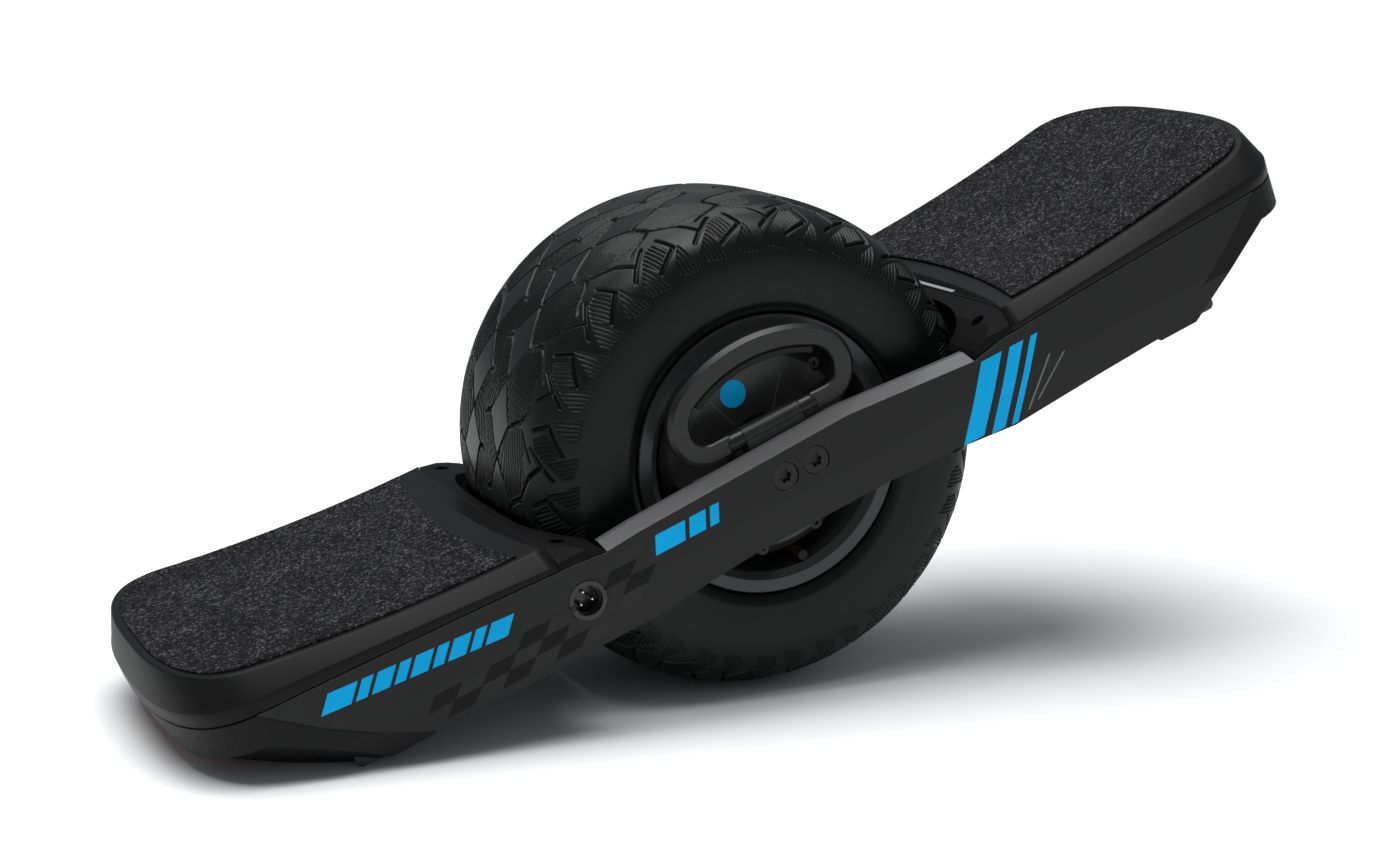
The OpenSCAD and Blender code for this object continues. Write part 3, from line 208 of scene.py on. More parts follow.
MATERIALS = {
    # the rail's dark coat; a painted highlight is added to its upward faces below
    "rail": surface("rail_coat_with_painted_highlight", (0.0075, 0.0076, 0.0078), 0.31, metallic=0.2, grain=1500.0, vary=0.12,
                    rough_vary=0.06, bump=0.25, bump_mm=0.04, specular=0.26),
    "steel": surface("turned_steel", (0.45, 0.46, 0.48), 0.3, metallic=1.0, grain=700.0, vary=0.1,
                     bump=0.1, bump_mm=0.03),
    "block": surface("block_coat", (0.012, 0.012, 0.0125), 0.45, metallic=0.3, grain=1200.0),
    "bolt": surface("bolt_oxide", (0.010, 0.010, 0.011), 0.38, metallic=0.5),
    "copper": surface("winding_copper", (0.6, 0.26, 0.1), 0.35, metallic=1.0, grain=400.0,
                      stretch=(1, 6, 1)),
    "bearing": surface("bearing_steel", (0.62, 0.63, 0.65), 0.16, metallic=1.0, grain=600.0, vary=0.05,
                       rough_vary=0.04, bump=0.04),
    "cable": surface("cable_jacket", (0.012, 0.012, 0.012), 0.6, grain=800.0),
    "pad": surface("footpad_plastic", (0.0068, 0.0068, 0.0072), 0.42, grain=1700.0, vary=0.1,
                   rough_vary=0.07, bump=0.3, specular=0.1),
    "film": surface("sensor_film", (0.2, 0.15, 0.05), 0.4),
    "trim": surface("trim_plastic", (0.005, 0.005, 0.0055), 0.56, grain=1900.0, vary=0.1,
                    rough_vary=0.06, bump=0.3, specular=0.07),
    "bumper": surface("bumper_plastic", (0.0065, 0.0065, 0.007), 0.46, grain=1700.0, vary=0.1,
                      rough_vary=0.07, bump=0.3, specular=0.14, edge_mm=1.2),
    "screw": surface("screw_zinc", (0.03, 0.03, 0.033), 0.34, metallic=0.9, edge_mm=0.2),
    "window": surface("status_window", (0.28, 0.285, 0.3), 0.3, grain=600.0, vary=0.05),
    "board": surface("circuit_coat", (0.01, 0.1, 0.035), 0.3, grain=500.0, vary=0.3),
    "case": surface("case_plastic", (0.02, 0.02, 0.022), 0.5, grain=1500.0, vary=0.1, rough_vary=0.06,
                    bump=0.3),
    "lid": surface("lid_aluminium", (0.4, 0.41, 0.43), 0.35, metallic=1.0, grain=700.0, vary=0.08),
    "seal": surface("seal_rubber", (0.008, 0.008, 0.008), 0.62, grain=1100.0, specular=0.25),
    "cell": surface("cell_wrap", (0.04, 0.12, 0.36), 0.3, grain=400.0, edge_mm=0.3),
    "port": surface("port_plastic", (0.005, 0.005, 0.005), 0.25, edge_mm=0.3),
    "contact": surface("contact_plate", (0.75, 0.76, 0.78), 0.12, metallic=1.0, grain=500.0, vary=0.04,
                       rough_vary=0.03, bump=0.02, edge_mm=0.1),
    "tyre": surface("tyre_rubber", (0.0038, 0.0044, 0.0042), 0.34, grain=1300.0, vary=0.25,
                    rough_vary=0.07, bump=0.3, specular=0.2, edge_mm=0),
    "rim": surface("rim_coat", (0.036, 0.037, 0.038), 0.36, metallic=0.4, grain=1300.0, vary=0.08,
                   rough_vary=0.05, bump=0.15, bump_mm=0.03),
    "rotor": surface("rotor_steel", (0.3, 0.3, 0.32), 0.4, metallic=1.0, grain=500.0),
    "cover": surface("cover_coat", (0.028, 0.028, 0.029), 0.36, metallic=0.1, grain=1500.0, vary=0.1,
                     rough_vary=0.06, bump=0.25, bump_mm=0.04),
    "brass": surface("brass_turned", (0.6, 0.42, 0.14), 0.3, metallic=1.0, grain=500.0, edge_mm=0.2),
    "handle": surface("handle_coat", (0.009, 0.009, 0.0095), 0.32, metallic=0.2, grain=1600.0, vary=0.1,
                      rough_vary=0.06, bump=0.2, bump_mm=0.03, specular=0.45, edge_mm=0.6),
    "blue": surface("blue_print", (0.0, 0.40, 0.80), 0.5, grain=1600.0, vary=0.05, rough_vary=0.05,
                    bump=0.15, bump_mm=0.02, specular=0.1, edge_mm=0),
    "grey": surface("grey_print", (0.12, 0.122, 0.125), 0.45, grain=1600.0, vary=0.05, rough_vary=0.05,
                    bump=0.15, bump_mm=0.02, edge_mm=0),
    "light_check": surface("pale_check", (0.0125, 0.0125, 0.013), 0.42, metallic=0.2, grain=1500.0,
                           vary=0.1, rough_vary=0.05, bump=0.2, bump_mm=0.03, specular=0.26, edge_mm=0),
    "dark_check": surface("dark_check", (0.0022, 0.0022, 0.0025), 0.42, metallic=0.1, grain=1500.0,
                          vary=0.1, rough_vary=0.05, bump=0.2, bump_mm=0.03, specular=0.16, edge_mm=0),
    "grit": grit_material(),
    "red": glow_material("tail_glow", (0.8, 0.01, 0.01), 2.5),
    "clear": glow_material("head_glow", (0.9, 0.92, 0.95), 0.15),
}

# Painted highlight: the rail's upward sloped faces get a paler colour in place of the light from above.
paint_highlight_on_upward_faces(MATERIALS["rail"], (0.105, 0.105, 0.107))

NODE_LOOKS = {
    "rail": ["right_rail", "left_rail"],
    "steel": ["axle_shaft", "handle_pin", "stator_core"],
    "block": ["right_axle_block", "left_axle_block", "handle_bracket"],
    "bolt": ["axle_bolts"],
    "copper": ["stator_windings"],
    "bearing": ["bearing_inner_rings", "bearing_outer_rings", "bearing_balls"],
    "cable": ["motor_cable", "power_cable"],
    "pad": ["front_footpad", "rear_footpad"],
    "grit": ["front_grip_tape", "rear_grip_tape"],
    "film": ["foot_sensor"],
    "trim": ["front_trim", "rear_trim"],
    "screw": ["trim_screws", "bumper_screws", "lid_screws", "bracket_screws", "hub_cover_screws"],
    "window": ["status_bar"],
    "bumper": ["nose_bumper", "tail_bumper"],
    "clear": ["headlight_lens"],
    "red": ["taillight_lens"],
    "board": ["light_boards", "controller_board", "battery_board"],
    "case": ["controller_case", "battery_case", "button_switch"],
    "lid": ["controller_lid", "battery_lid"],
    "seal": ["controller_gasket", "battery_gasket", "shaft_seals", "valve_cap", "handle_grip"],
    "cell": ["battery_cells"],
    "port": ["charge_port", "power_button"],
    "contact": ["charge_pins"],
    "handle": ["handle_loop", "button_bezel"],
    "tyre": ["tyre"],
    "rim": ["rim"],
    "rotor": ["rotor_ring", "rotor_magnets"],
    "cover": ["right_hub_cover", "left_hub_cover"],
    "brass": ["valve_stem", "bearing_cages"],
}


def dress_cad():
    for look, names in NODE_LOOKS.items():
        for name in names:
            mesh = frame["nodes"][name].data
            mesh.materials.clear()
            mesh.materials.append(MATERIALS[look])


# ---------------------------------------------------------------- mesh helpers

def piece(name, points, faces, look, body, smooth=True):
    """A mesh piece, given in the frame of the part, that rides on a CAD body."""
    mesh = bpy.data.meshes.new(name)
    mesh.from_pydata([tuple(p) for p in points], [], faces)
    mesh.polygons.foreach_set("use_smooth", [smooth] * len(mesh.polygons))
    mesh.materials.append(MATERIALS[look])
    mesh.update()
    made = bpy.data.objects.new(name, mesh)
    bpy.context.scene.collection.objects.link(made)
    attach(made, body)
    return made


def grid_faces(rows, columns, wrap_rows=False, wrap_columns=False):
    """Quads of a grid of points stored row by row, as an array."""
    r = np.arange(rows if wrap_rows else rows - 1)
    c = np.arange(columns if wrap_columns else columns - 1)
    r, c = np.meshgrid(r, c, indexing="ij")
    r1, c1 = (r + 1) % rows, (c + 1) % columns
    corners = [r * columns + c, r * columns + c1, r1 * columns + c1, r1 * columns + c]
    return np.stack(corners, -1).reshape(-1, 4)


def plate(name, outline, thick, to_place, look, body):
    """A thin flat print: an outline of [x, z] points with a small thickness along -Y."""
    n = len(outline)
    front = [to_place(x, z, thick) for x, z in outline]
    back = [to_place(x, z, 0) for x, z in outline]
    faces = [tuple(range(n)), tuple(range(2 * n - 1, n - 1, -1))]
    faces += [(i, i + n, (i + 1) % n + n, (i + 1) % n) for i in range(n)]
    return piece(name, front + back, faces, look, body, smooth=False)


# ---------------------------------------------------------------- tyre

TYRE_R, TYRE_Y, BEAD_R = 152.4, 88.9, 76.2      # outer radius, half width and bead seat radius, mm
TYRE_WALL = 12.0            # thickness under the tread
CROWN_FROM = BEAD_R + 28    # radius where the sidewall is widest
SQUARENESS = 3.4            # exponent of the section's superellipse
PERIODS = 20                # repeats of the tread round the tyre
STEPS = 96                  # samples round one period of the tread
PITCH = 2 * math.pi * TYRE_R / PERIODS
ROW = 23.0                  # distance between rows of tread blocks
GROOVE = 2.4                # depth of the main grooves


def tread_curve(samples):
    """The tyre's outer section from one flange to the other: radius, y, distance from the crown."""
    t = np.linspace(0, math.pi / 2, 2000)
    r = CROWN_FROM + (TYRE_R - CROWN_FROM) * np.sin(t) ** (2 / SQUARENESS)
    y = TYRE_Y * np.cos(t) ** (2 / SQUARENESS)
    low_r = np.array([BEAD_R + 10.2, BEAD_R + 10.8, BEAD_R + 14, BEAD_R + 17])
    low_y = np.array([TYRE_Y - 8.2, TYRE_Y - 4.6, TYRE_Y - 2.1, TYRE_Y - 0.9])
    r, y = np.concatenate([low_r, r]), np.concatenate([low_y, y])
    length = np.concatenate([[0], np.cumsum(np.hypot(np.diff(r), np.diff(y)))])
    from_crown = length[-1] - length
    order = np.argsort(from_crown)
    s = np.concatenate([np.linspace(0, 112, samples), np.linspace(113.5, length[-1], 22)])
    radius = np.interp(s, from_crown[order], r[order])
    across = np.interp(s, from_crown[order], y[order])
    return s, radius, across


def inside(u, v, corners):
    """Even-odd test of the grid points u, v against a polygon."""
    found = np.zeros(u.shape, bool)
    for (ax, ay), (bx, by) in zip(corners, corners[1:] + corners[:1]):
        crosses = (ay > v) != (by > v)
        at = ax + (v - ay) * (bx - ax) / (by - ay if by != ay else 1e-9)
        found ^= crosses & (u < at)
    return found


def cut(distance, width, depth):
    """Depth of a groove with sloped walls at this distance from its middle line, in mm."""
    return depth * np.clip((width / 2 + 0.5 - np.abs(distance)) / 0.8, 0, 1)


def segment(u, v, a, b):
    """Distance in mm to the segment a-b, whose points are [share of a period, mm from the crown]."""
    x, x0, x1 = u * PITCH, a[0] * PITCH, b[0] * PITCH
    dx, dy = x1 - x0, b[1] - a[1]
    t = np.clip(((x - x0) * dx + (v - a[1]) * dy) / (dx * dx + dy * dy), 0, 1)
    return np.hypot(x - x0 - t * dx, v - a[1] - t * dy)


# Tread features of the shoulder, [share of a period, mm beyond the shoulder line]
SHOULDER = 66.0
SLANTED_RIBS = [[(0.07, 1.3), (-0.01, 12.0), (0.28, 21.5), (0.38, 11.3), (0.235, 3.7)],
                [(0.385, 11.8), (0.27, 33.0), (0.575, 30.0), (0.63, 24.6)]]
STEEP_RIBS = [(-0.165, 12.6), (-0.30, 33.0), (0.00, 31.5), (0.065, 26.5)]
NOTCHES = [[(0.0, 0.0), (-0.11, 12.2)], [(-0.11, 12.2), (0.27, 23.0)], [(0.23, -0.3), (0.62, 17.0)],
           [(0.46, 8.5), (0.63, -2.0)]]
RIBS_A_PERIOD = 16
RIBS_SLANT = (0.0064, 0.0030)


def row_line(v):
    """Where the long grooves run, as a share of a period against rows from the crown."""
    return 0.16 * np.sin(2 * math.pi * v) + 0.05 * np.sin(4 * math.pi * v)


def ridges(u, t, slant):
    wave = 0.5 + 0.5 * np.cos(2 * math.pi * RIBS_A_PERIOD * (u + slant * t))
    return np.clip(2.6 * wave - 0.9, 0, 1)


def crown_depth(u, t):
    """Grooves that cross in a net over the crown, and fine leaf lines in every other block."""
    a = u - t / (2 * ROW) + row_line(t / (2 * ROW))
    b = u + t / (2 * ROW) - 0.5 * row_line(t / (2 * ROW))
    near_a = np.abs(a - np.round(a)) * PITCH * 0.7
    near_b = np.abs(b - np.round(b)) * PITCH * 0.7
    on_crown = np.clip((SHOULDER + 1 - t) / 3, 0, 1)
    deep = np.maximum(cut(near_a, 1.2, GROOVE), cut(near_b, 1.0, GROOVE * 0.85)) * on_crown
    row = np.floor(b) - np.floor(a)
    inner = (near_a > 1.8) & (near_b > 1.7) & (t < SHOULDER - 6)
    leaf = 0.5 + 0.5 * np.cos(2 * math.pi * (t / 3.0 + 3 * np.abs(a - np.floor(a) - 0.5)))
    return np.maximum(deep, np.where(inner & (row % 2 == 0), 0.6 * np.clip(2 * leaf - 0.6, 0, 1), 0))


def shoulder_depth(u, beyond):
    """Ribbed blocks and the notches between them, beyond the shoulder line."""
    deep = np.zeros(u.shape)
    for shift in (-1, 0, 1):
        for corners in SLANTED_RIBS:
            here = inside(u + shift, beyond, corners)
            deep = np.maximum(deep, np.where(here, 0.1 + 0.9 * ridges(u, beyond, RIBS_SLANT[0]), 0))
        here = inside(u + shift, beyond, STEEP_RIBS)
        deep = np.maximum(deep, np.where(here, 0.1 + 0.9 * ridges(u, beyond, RIBS_SLANT[1]), 0))
        for start, end in NOTCHES:
            deep = np.maximum(deep, cut(segment(u + shift, beyond, start, end), 1.6, GROOVE * 0.9))
    return deep


def tread_depth(u, t):
    """How deep the tread is cut at share u of a period and t mm from the crown."""
    return np.maximum(crown_depth(u, t), shoulder_depth(u, t - SHOULDER))


def cut_sides():
    """The left and the right outer side over one period, with the tread cut into them."""
    s, radius, across = tread_curve(165)
    u = np.arange(STEPS) / STEPS
    side_r, side_y = np.gradient(radius), np.gradient(across)
    size = np.hypot(side_r, side_y)
    inward_r, inward_y = -side_y / size, side_r / size
    sides = []
    for sign, shift in ((1, 0.0), (-1, 0.5)):
        uu, tt = np.meshgrid((u + shift) % 1, s, indexing="ij")
        depth = tread_depth(uu, tt)
        sides.append((radius + depth * inward_r, sign * (across + depth * inward_y)))
    return sides


def inner_section():
    """The bead toe, the liner and the other bead toe, from the right flange back to the left one."""
    t = np.linspace(0.02, math.pi - 0.02, 26)
    liner_r = CROWN_FROM + (TYRE_R - TYRE_WALL - CROWN_FROM) * np.sin(t) ** (2 / SQUARENESS)
    liner_y = (TYRE_Y - 8) * np.sign(-np.cos(t)) * np.abs(np.cos(t)) ** (2 / SQUARENESS)
    toe_r = np.array([BEAD_R + 0.1, BEAD_R + 0.1, BEAD_R + 8])
    toe_y = np.array([TYRE_Y - 9.5, TYRE_Y - 20, TYRE_Y - 19])
    return np.concatenate([toe_r, liner_r, toe_r[::-1]]), np.concatenate([-toe_y, liner_y, toe_y[::-1]])


def make_tyre():
    """The tyre as rings of points round its section: left side, crown, right side, inside."""
    (left_r, left_y), (right_r, right_y) = cut_sides()
    inner_r, inner_y = (np.tile(part, (STEPS, 1)) for part in inner_section())
    crown_r = (left_r[:, :1] + right_r[:, :1]) / 2
    tile_r = np.concatenate([left_r[:, :0:-1], crown_r, right_r[:, 1:], inner_r], 1)
    tile_y = np.concatenate([left_y[:, :0:-1], crown_r * 0, right_y[:, 1:], inner_y], 1)
    rings = PERIODS * STEPS
    r, y = np.tile(tile_r, (PERIODS, 1)), np.tile(tile_y, (PERIODS, 1))
    angle = (np.arange(rings) * 2 * math.pi / rings)[:, None]
    points = np.stack([WHEEL.x + r * np.cos(angle) * MM, y * MM, WHEEL.z + r * np.sin(angle) * MM], -1)
    faces = grid_faces(rings, r.shape[1], True, True)
    made = piece("tyre_tread", points.reshape(-1, 3), faces.tolist(), "tyre", "wheel")
    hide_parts("tyre")


# ---------------------------------------------------------------- footpads and grip tape

BOARD_HALF = 391.0                      # from the axle to a footpad's tip
CORNER_X, CORNER_N = 333.0, 2.7         # where the tip's rounding starts, and its superellipse exponent
PAD_EDGE = TYRE_R + 8.6                 # a footpad's end at the tyre
SEAM_X, SEAM_R = TYRE_R + 17.1, 700.0   # the curved seam between footpad and trim
DECK_IN, DECK_CURVE = 27.5, 1124.0      # the deck's height at its inner end, and its radius along the board
DECK_BEVEL = 9.8                        # width of the bevel round the deck
RAIL_X = [PAD_EDGE - 33, PAD_EDGE - 11, 345 * 0.652, 303, 345]
RAIL_Z = [10.2, 12.6, 16.5, 19.8, 21.2]
TAPE_BORDER, TAPE_ARC = 4.5, 520.0      # bare strip round the tape, and the radius of its inner end
TAPE_T, GRAIN = 1.1, 0.32               # thickness of the tape, and height of its grit


def rail_top(x):
    return np.interp(x, RAIL_X, RAIL_Z)


def deck_z(x):
    return DECK_IN + 0.015 * (x - PAD_EDGE) + (x - PAD_EDGE) ** 2 / (2 * DECK_CURVE)


def band_z(x):
    return rail_top(x) + 4 + (x - PAD_EDGE - 4) / 36


def half_outline(inset, inner=0.0):
    """Half of a footpad's plan, from the middle of its inner edge round to the middle of its tip."""
    hw = HALF_W / MM - inset
    y = np.linspace(0, hw, 14)
    arc = [(SEAM_X + inner - SEAM_R + math.sqrt(SEAM_R ** 2 - v ** 2), v) for v in y]
    side = [(x, hw) for x in np.linspace(arc[-1][0], CORNER_X, 22)[1:-1]]
    reach = BOARD_HALF - inset - CORNER_X
    bend = [(CORNER_X + reach * math.sin(t) ** (2 / CORNER_N), hw * math.cos(t) ** (2 / CORNER_N))
            for t in np.linspace(0, math.pi / 2 - 1e-6, 44)]
    return np.array(arc + side + bend)


def pad_levels():
    """Inset of the outline, extra inset at the seam, and height, from the underside up to the deck."""
    return [(1.0, 0.0, lambda x: rail_top(x) + 0.3),
            (0.2, 0.0, lambda x: rail_top(x) + 1.2),
            (0.0, 0.0, lambda x: band_z(x) - 0.35),
            (0.12, 0.0, band_z),
            (0.5, 0.0, lambda x: band_z(x) + 0.4),
            (DECK_BEVEL - 1.2, 0.0, lambda x: deck_z(x) - 1.0),
            (DECK_BEVEL - 0.4, 0.2, lambda x: deck_z(x) - 0.4),
            (DECK_BEVEL + 0.5, 0.7, lambda x: deck_z(x) - 0.02),
            (DECK_BEVEL + 1.4, 1.6, deck_z)]


def pad_points(end):
    """Rings of points, one for each level, each running round both halves of the footpad."""
    rings = []
    for inset, inner, height in pad_levels():
        half = half_outline(inset, inner)
        heights = height(half[:, 0])
        near = [on_board(end * x * MM, y * MM, z * MM) for (x, y), z in zip(half, heights)]
        far = [on_board(end * x * MM, -y * MM, z * MM) for (x, y), z in zip(half[::-1], heights[::-1])]
        rings.append(near + far)
    return rings


def pad_faces(levels, m):
    """Walls between the rings of m points, and strips across the lowest and the highest ring."""
    faces = []
    for level in range(levels - 1):
        for i in range(m):
            a, b = level * m + i, level * m + (i + 1) % m
            faces.append((a, b, b + m, a + m))
    for base, flip in ((0, True), ((levels - 1) * m, False)):
        for i in range(m // 2 - 1):
            quad = (base + i, base + i + 1, base + m - 2 - i, base + m - 1 - i)
            faces.append(quad[::-1] if flip else quad)
    return faces


def pad_shell(end, name, node):
    """The footpad as nested rings from its underside up over the bevel to its flat top."""
    rings = pad_points(end)
    faces = pad_faces(len(rings), len(rings[0]))
    if end > 0:
        faces = [face[::-1] for face in faces]
    points = [point for ring in rings for point in ring]
    made = piece(name, points, faces, "pad", "chassis")
    weld = made.modifiers.new("weld", "WELD")
    weld.merge_threshold = 1e-6
    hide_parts(node)


def tape_grid(x_in, rows, columns):
    """Points of a grip tape in plan, along and across the board, closer together at its sides."""
    hw = HALF_W / MM - DECK_BEVEL - TAPE_BORDER
    reach = BOARD_HALF - DECK_BEVEL - TAPE_BORDER - CORNER_X
    v = 0.6 * np.sin(np.linspace(-math.pi / 2, math.pi / 2, columns)) + 0.4 * np.linspace(-1, 1, columns)
    y = v * hw
    start = x_in - TAPE_ARC + np.sqrt(TAPE_ARC ** 2 - y ** 2)
    stop = CORNER_X + reach * np.clip(1 - np.abs(v) ** CORNER_N, 0, 1) ** (1 / CORNER_N)
    x = start + (stop - start) * np.linspace(0, 1, rows)[:, None]
    return x, np.broadcast_to(y, x.shape)


def sheet_faces(rows, columns):
    """Faces of a thick sheet whose top grid of points is followed by its bottom grid."""
    count = rows * columns
    quads = grid_faces(rows, columns)
    ring = np.concatenate([np.arange(columns), np.arange(1, rows) * columns + columns - 1,
                           (rows - 1) * columns + np.arange(columns - 2, -1, -1),
                           np.arange(rows - 2, 0, -1) * columns])
    following = np.roll(ring, -1)
    wall = np.stack([following, ring, ring + count, following + count], -1)
    return np.concatenate([quads, quads[:, ::-1] + count, wall])


def grit_sheet(end, name, node, lift, x_in):
    """Grip tape as a thick sheet whose top is real grit, which fades at the sheet's edge."""
    rows, columns = 210, 230
    x, y = tape_grid(x_in, rows, columns)
    grains = noise.random(x.shape) ** 2
    fade = np.minimum(np.minimum(np.arange(rows)[:, None], np.arange(rows)[::-1, None]),
                      np.minimum(np.arange(columns), np.arange(columns)[::-1]))
    low = deck_z(x) + lift
    top = low + TAPE_T + GRAIN * grains * np.clip(fade / 2, 0, 1) - 0.4 * (fade == 0)
    flat = np.concatenate([np.stack([x, y, z], -1).reshape(-1, 3) for z in (top, low)])
    along, across, up = (flat[:, i:i + 1] for i in range(3))
    offset = end * along * np.array(BOARD_X) + across * np.array((0, 1, 0)) + up * np.array(BOARD_Z)
    faces = sheet_faces(rows, columns)
    if end > 0:
        faces = faces[:, ::-1]
    points = np.array(WHEEL) + offset * MM
    made = piece(name, points, faces.tolist(), "grit", "chassis", smooth=False)
    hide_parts(node)


# ---------------------------------------------------------------- prints on the right rail and the hub

PRINT_T = 0.12              # thickness of a print, mm
CREASE_Z = -14.0            # height of the rail's crease
CREASE_IN, RAIL_LOW = 2.5, 45.2         # how far the lower face leans in, and the depth of its lower edge


def on_rail(x, z, lift):
    """A point on the right rail's outer face, which leans inwards below its crease."""
    lean = max(0.0, CREASE_Z - z) * CREASE_IN / (RAIL_LOW + CREASE_Z)
    return on_board(x * MM, -HALF_W + (lean - lift) * MM, z * MM)


def split_at_crease(outline):
    """The parts of a polygon above and below the rail's crease."""
    parts = []
    for keep_above in (True, False):
        kept = []
        for (ax, az), (bx, bz) in zip(outline, outline[1:] + outline[:1]):
            a_in = (az >= CREASE_Z) == keep_above
            b_in = (bz >= CREASE_Z) == keep_above
            if a_in:
                kept.append((ax, az))
            if a_in != b_in:
                t = (CREASE_Z - az) / (bz - az)
                kept.append((ax + t * (bx - ax), CREASE_Z))
        if len(kept) > 2:
            parts.append(kept)
    return parts


def rail_print(name, outline, look):
    for i, part in enumerate(split_at_crease(outline)):
        plate(f"{name}_{i}", part, PRINT_T, on_rail, look, "chassis")


def bar(x, z, width, height, lean, tilt=0.0):
    """A slanted bar with its lower left corner at x, z."""
    corners = [(0, 0), (width, 0), (width + lean, height), (lean, height)]
    c, s = math.cos(tilt), math.sin(tilt)
    return [(x + px * c - pz * s, z + px * s + pz * c) for px, pz in corners]


TAIL_X, TAIL_Z, TAIL_TILT = -314.0, 3.4, -0.085
TAIL_WIDTHS, TAIL_GAP = (18, 7, 11, 7, 11, 7, 11, 7, 14), 2.6
BADGE_X, BADGE_WIDTHS, BADGE_GAP = -102.0, (20.0, 11.0, 6.0), 3.0
# x, z, width, height and lean of each slanted band and stroke ahead of the wheel
BANDS = [(104.0, -38.0, 15.0, 44.0, 28.0), (124.0, -40.0, 10.0, 46.0, 29.0),
         (138.5, -41.0, 5.0, 47.0, 30.0)]
STROKES = [(152.0, -37.0, 1.6, 27.0, 24.0), (160.0, -34.0, 1.6, 21.0, 26.0)]


def tail_bars():
    """A row of slanted bars on the tail, which drops towards the nose."""
    x = TAIL_X
    for i, width in enumerate(TAIL_WIDTHS):
        z = TAIL_Z + (x - TAIL_X) * math.tan(TAIL_TILT)
        rail_print(f"tail_bar_{i}", bar(x, z, width, 11.0, 7.5, TAIL_TILT), "blue")
        x += width + TAIL_GAP


def badge_bars():
    """Three bars that narrow towards the nose."""
    x = BADGE_X
    for i, width in enumerate(BADGE_WIDTHS):
        rail_print(f"badge_bar_{i}", bar(x, -5.8, width, 11.4, 4.0), "blue")
        x += width + BADGE_GAP


def make_prints():
    tail_bars()
    badge_bars()
    for i, band in enumerate(BANDS):
        rail_print(f"band_{i}", bar(*band), "blue")
    for i, stroke in enumerate(STROKES):
        rail_print(f"stroke_{i}", bar(*stroke), "grey")


CHECK_W, CHECK_H, CHECK_LEAN = 17.5, 8.3, 8.0
CHECK_TOP, CHECK_GAP = 7.0, 0.1
CHECK_ROWS = [(-146, -128), (-182, -128), (-216, -122), (-262, -130), (-264, -146)]    # each row's ends
PORT_X, PORT_Z, PORT_CLEAR = -149.0, -10.9, 11.0       # the charge port, which the checks keep clear of


def beside_port(x, z):
    """Whether a check with its corner at x, z stays clear of the charge port."""
    off_x = abs(x + (CHECK_W + CHECK_LEAN) / 2 - PORT_X)
    off_z = abs(z + CHECK_H / 2 - PORT_Z)
    return off_x >= PORT_CLEAR + CHECK_W / 2 or off_z >= PORT_CLEAR + CHECK_H / 2


def make_checks():
    """A field of sheared checks on the rear of the rail, which steps down towards the tail."""
    for row, (first, last) in enumerate(CHECK_ROWS):
        z = CHECK_TOP - (row + 1) * CHECK_H
        for column in range(-30, 2):
            x = column * CHECK_W - (row + 1) * CHECK_LEAN
            if first <= x <= last and beside_port(x, z):
                look = "light_check" if (row + column) % 2 else "dark_check"
                outline = bar(x, z, CHECK_W - CHECK_GAP, CHECK_H - CHECK_GAP, CHECK_LEAN)
                rail_print(f"check_{row}_{-column}", outline, look)


HUB_FACE = -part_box("right_hub_cover")[0].y / MM
DOT_X, DOT_Z, DOT_R = -20.5, 37.0, 8.5
LINE_FROM, LINE_TO, LINE_HALF = 26, 49, 0.25            # radii and half width of the hub's fine lines
LINES, LINE_TURN = 6, 17


def make_hub_details():
    """A plain blue disc and fine radial lines on the right hub cover."""

    def on_hub(x, z, lift):
        return WHEEL + Vector((x * MM, -(HUB_FACE + lift) * MM, z * MM))

    turns = [2 * math.pi * i / 48 for i in range(48)]
    disc = [(DOT_X + DOT_R * math.cos(turn), DOT_Z + DOT_R * math.sin(turn)) for turn in turns]
    plate("hub_dot", disc, PRINT_T, on_hub, "blue", "wheel")
    line = [(LINE_FROM, -LINE_HALF), (LINE_TO, -LINE_HALF), (LINE_TO, LINE_HALF), (LINE_FROM, LINE_HALF)]
    for i in range(LINES):
        angle = math.radians(LINE_TURN + i * 360 / LINES)
        c, s = math.cos(angle), math.sin(angle)
        outline = [(r * c - w * s, r * s + w * c) for r, w in line]
        plate(f"hub_line_{i}", outline, PRINT_T * 0.5, on_hub, "grey", "wheel")


# ---------------------------------------------------------------- camera, lights and floor

AZIMUTH, ELEVATION = math.radians(-23.76), math.radians(11.70)
DISTANCE = 1.581                        # from the camera to the axle
FOCAL_PX, IMAGE_W = 2498.0, 1400.0      # focal length and image width in the same unit
SENSOR = 36.0
SLIDE = (0.00824, 0.00313)              # how far the camera moves left and down from facing the axle


def make_camera():
    data = bpy.data.cameras.new("camera")
    data.sensor_width = SENSOR
    data.lens = SENSOR * FOCAL_PX / IMAGE_W
    data.clip_end = 100.0
    made = bpy.data.objects.new("camera", data)
    bpy.context.scene.collection.objects.link(made)
    ca, sa, ce, se = math.cos(AZIMUTH), math.sin(AZIMUTH), math.cos(ELEVATION), math.sin(ELEVATION)
    back = Vector((sa * ce, -ca * ce, se))
    right = Vector((ca, sa, 0))
    up = back.cross(right)
    made.location = WHEEL + back * DISTANCE - right * SLIDE[0] - up * SLIDE[1]
    made.rotation_mode = "QUATERNION"
    made.rotation_quaternion = (-back).to_track_quat("-Z", "Y")
    bpy.context.scene.camera = made


def area_light(name, place, aim, size, power):
    data = bpy.data.lights.new(name, "AREA")
    data.shape = "RECTANGLE"
    data.size, data.size_y = size
    data.energy = power
    made = bpy.data.objects.new(name, data)
    made.location = place
    made.rotation_mode = "QUATERNION"
    made.rotation_quaternion = (Vector(aim) - Vector(place)).to_track_quat("-Z", "Y")
    bpy.context.scene.collection.objects.link(made)


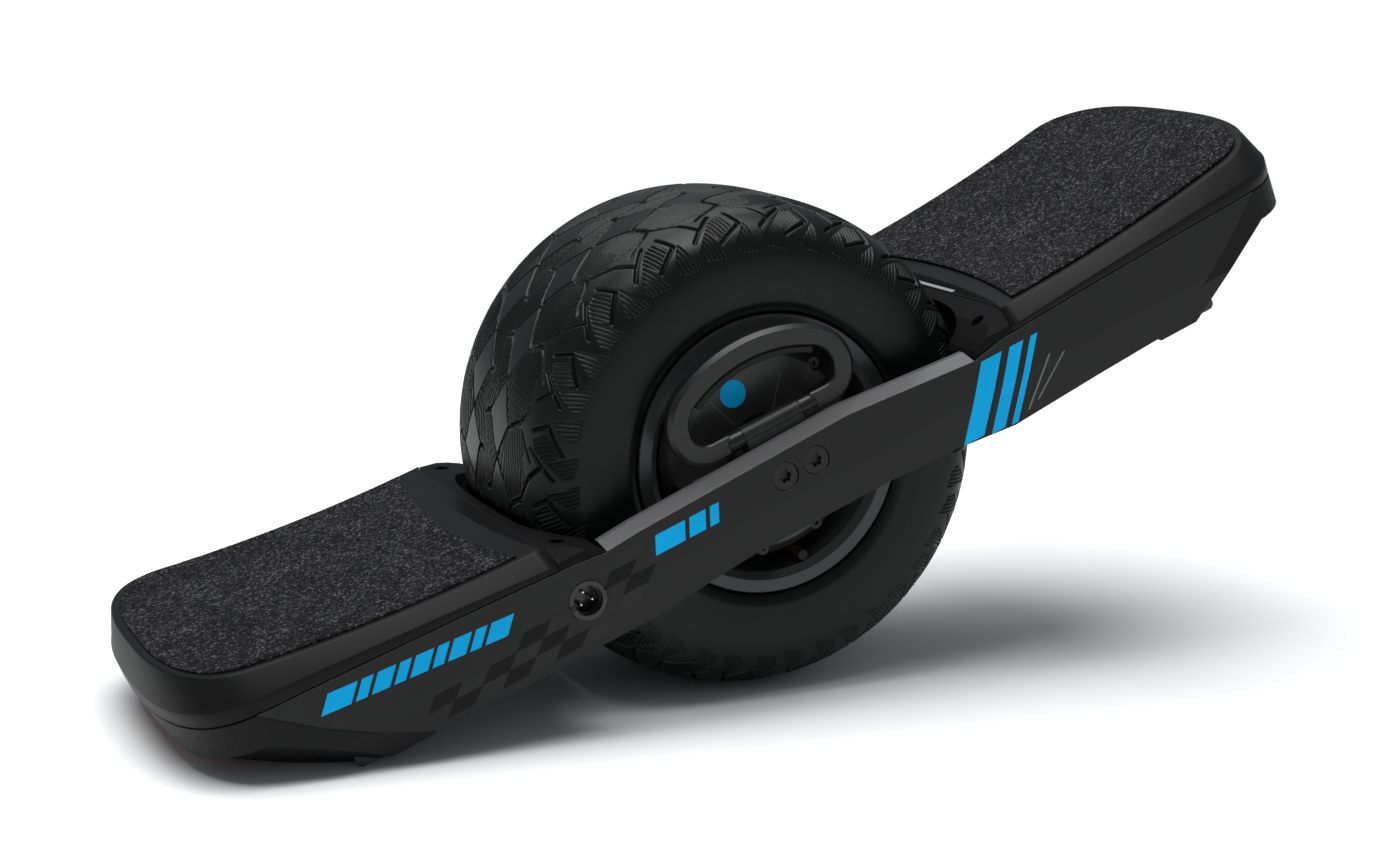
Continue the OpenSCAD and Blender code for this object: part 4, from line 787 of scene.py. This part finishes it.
def sun_light(name, towards, spread, strength):
    """A soft light from a wide disc of the sky, whose width is in degrees."""
    data = bpy.data.lights.new(name, "SUN")
    data.angle = math.radians(spread)
    data.energy = strength
    made = bpy.data.objects.new(name, data)
    made.rotation_mode = "QUATERNION"
    made.rotation_quaternion = Vector(towards).to_track_quat("Z", "Y")
    bpy.context.scene.collection.objects.link(made)


def make_world():
    """A dim room round the object, with a white ground behind it."""
    world = bpy.data.worlds.new("studio")
    bpy.context.scene.world = world
    world.use_nodes = True
    nodes, links = world.node_tree.nodes, world.node_tree.links
    dim = nodes["Background"]
    dim.inputs["Color"].default_value = (0.9, 0.95, 1.0, 1)
    dim.inputs["Strength"].default_value = 0.24
    white = nodes.new("ShaderNodeBackground")
    white.inputs["Color"].default_value = (1, 1, 1, 1)
    white.inputs["Strength"].default_value = 1.0
    path = nodes.new("ShaderNodeLightPath")
    mix = nodes.new("ShaderNodeMixShader")
    links.new(path.outputs["Is Camera Ray"], mix.inputs["Fac"])
    links.new(dim.outputs["Background"], mix.inputs[1])
    links.new(white.outputs["Background"], mix.inputs[2])
    links.new(mix.outputs["Shader"], nodes["World Output"].inputs["Surface"])


FLOOR_HALF = 40.0


def floor_material():
    made, nodes, links, shader = new_material("floor_paper")
    fibre = noise_node(nodes, links, 8.0, 2.0)
    tint = ramp(nodes, links, fibre.outputs["Fac"], [(0.3, (0.93, 0.93, 0.935)), (0.7, (0.95, 0.95, 0.95))])
    links.new(tint.outputs["Color"], shader.inputs["Base Color"])
    shader.inputs["Roughness"].default_value = 0.9
    shader.inputs["Specular IOR Level"].default_value = 0.1
    return made


def make_floor():
    mesh = bpy.data.meshes.new("floor")
    corners = [(x * FLOOR_HALF, y * FLOOR_HALF, 0) for x, y in ((-1, -1), (1, -1), (1, 1), (-1, 1))]
    mesh.from_pydata(corners, [], [(0, 1, 2, 3)])
    mesh.materials.append(floor_material())
    floor = bpy.data.objects.new("floor", mesh)
    bpy.context.scene.collection.objects.link(floor)


def make_lights():
    sun_light("overhead", (-0.06, -0.02, 1.0), 52.0, 2.8)
    area_light("top_box", (-0.05, -0.2, 1.3), (-0.05, 0.0, 0.2), (0.5, 0.3), 2.2)
    area_light("rear_box", (-0.03, 0.86, 1.42), (0.0, 0.0, 0.15), (1.5, 0.4), 4.0)


# ---------------------------------------------------------------- assembly

dress_cad()
make_tyre()
pad_shell(1, "front_pad_shell", "front_footpad")
pad_shell(-1, "rear_pad_shell", "rear_footpad")
grit_sheet(1, "front_grit", "front_grip_tape", 0.9, PAD_EDGE + 23)
grit_sheet(-1, "rear_grit", "rear_grip_tape", 0.3, PAD_EDGE + 26)
make_prints()
make_checks()
make_hub_details()
make_camera()
make_world()
make_floor()
make_lights()
bpy.context.scene.view_settings.view_transform = "Standard"
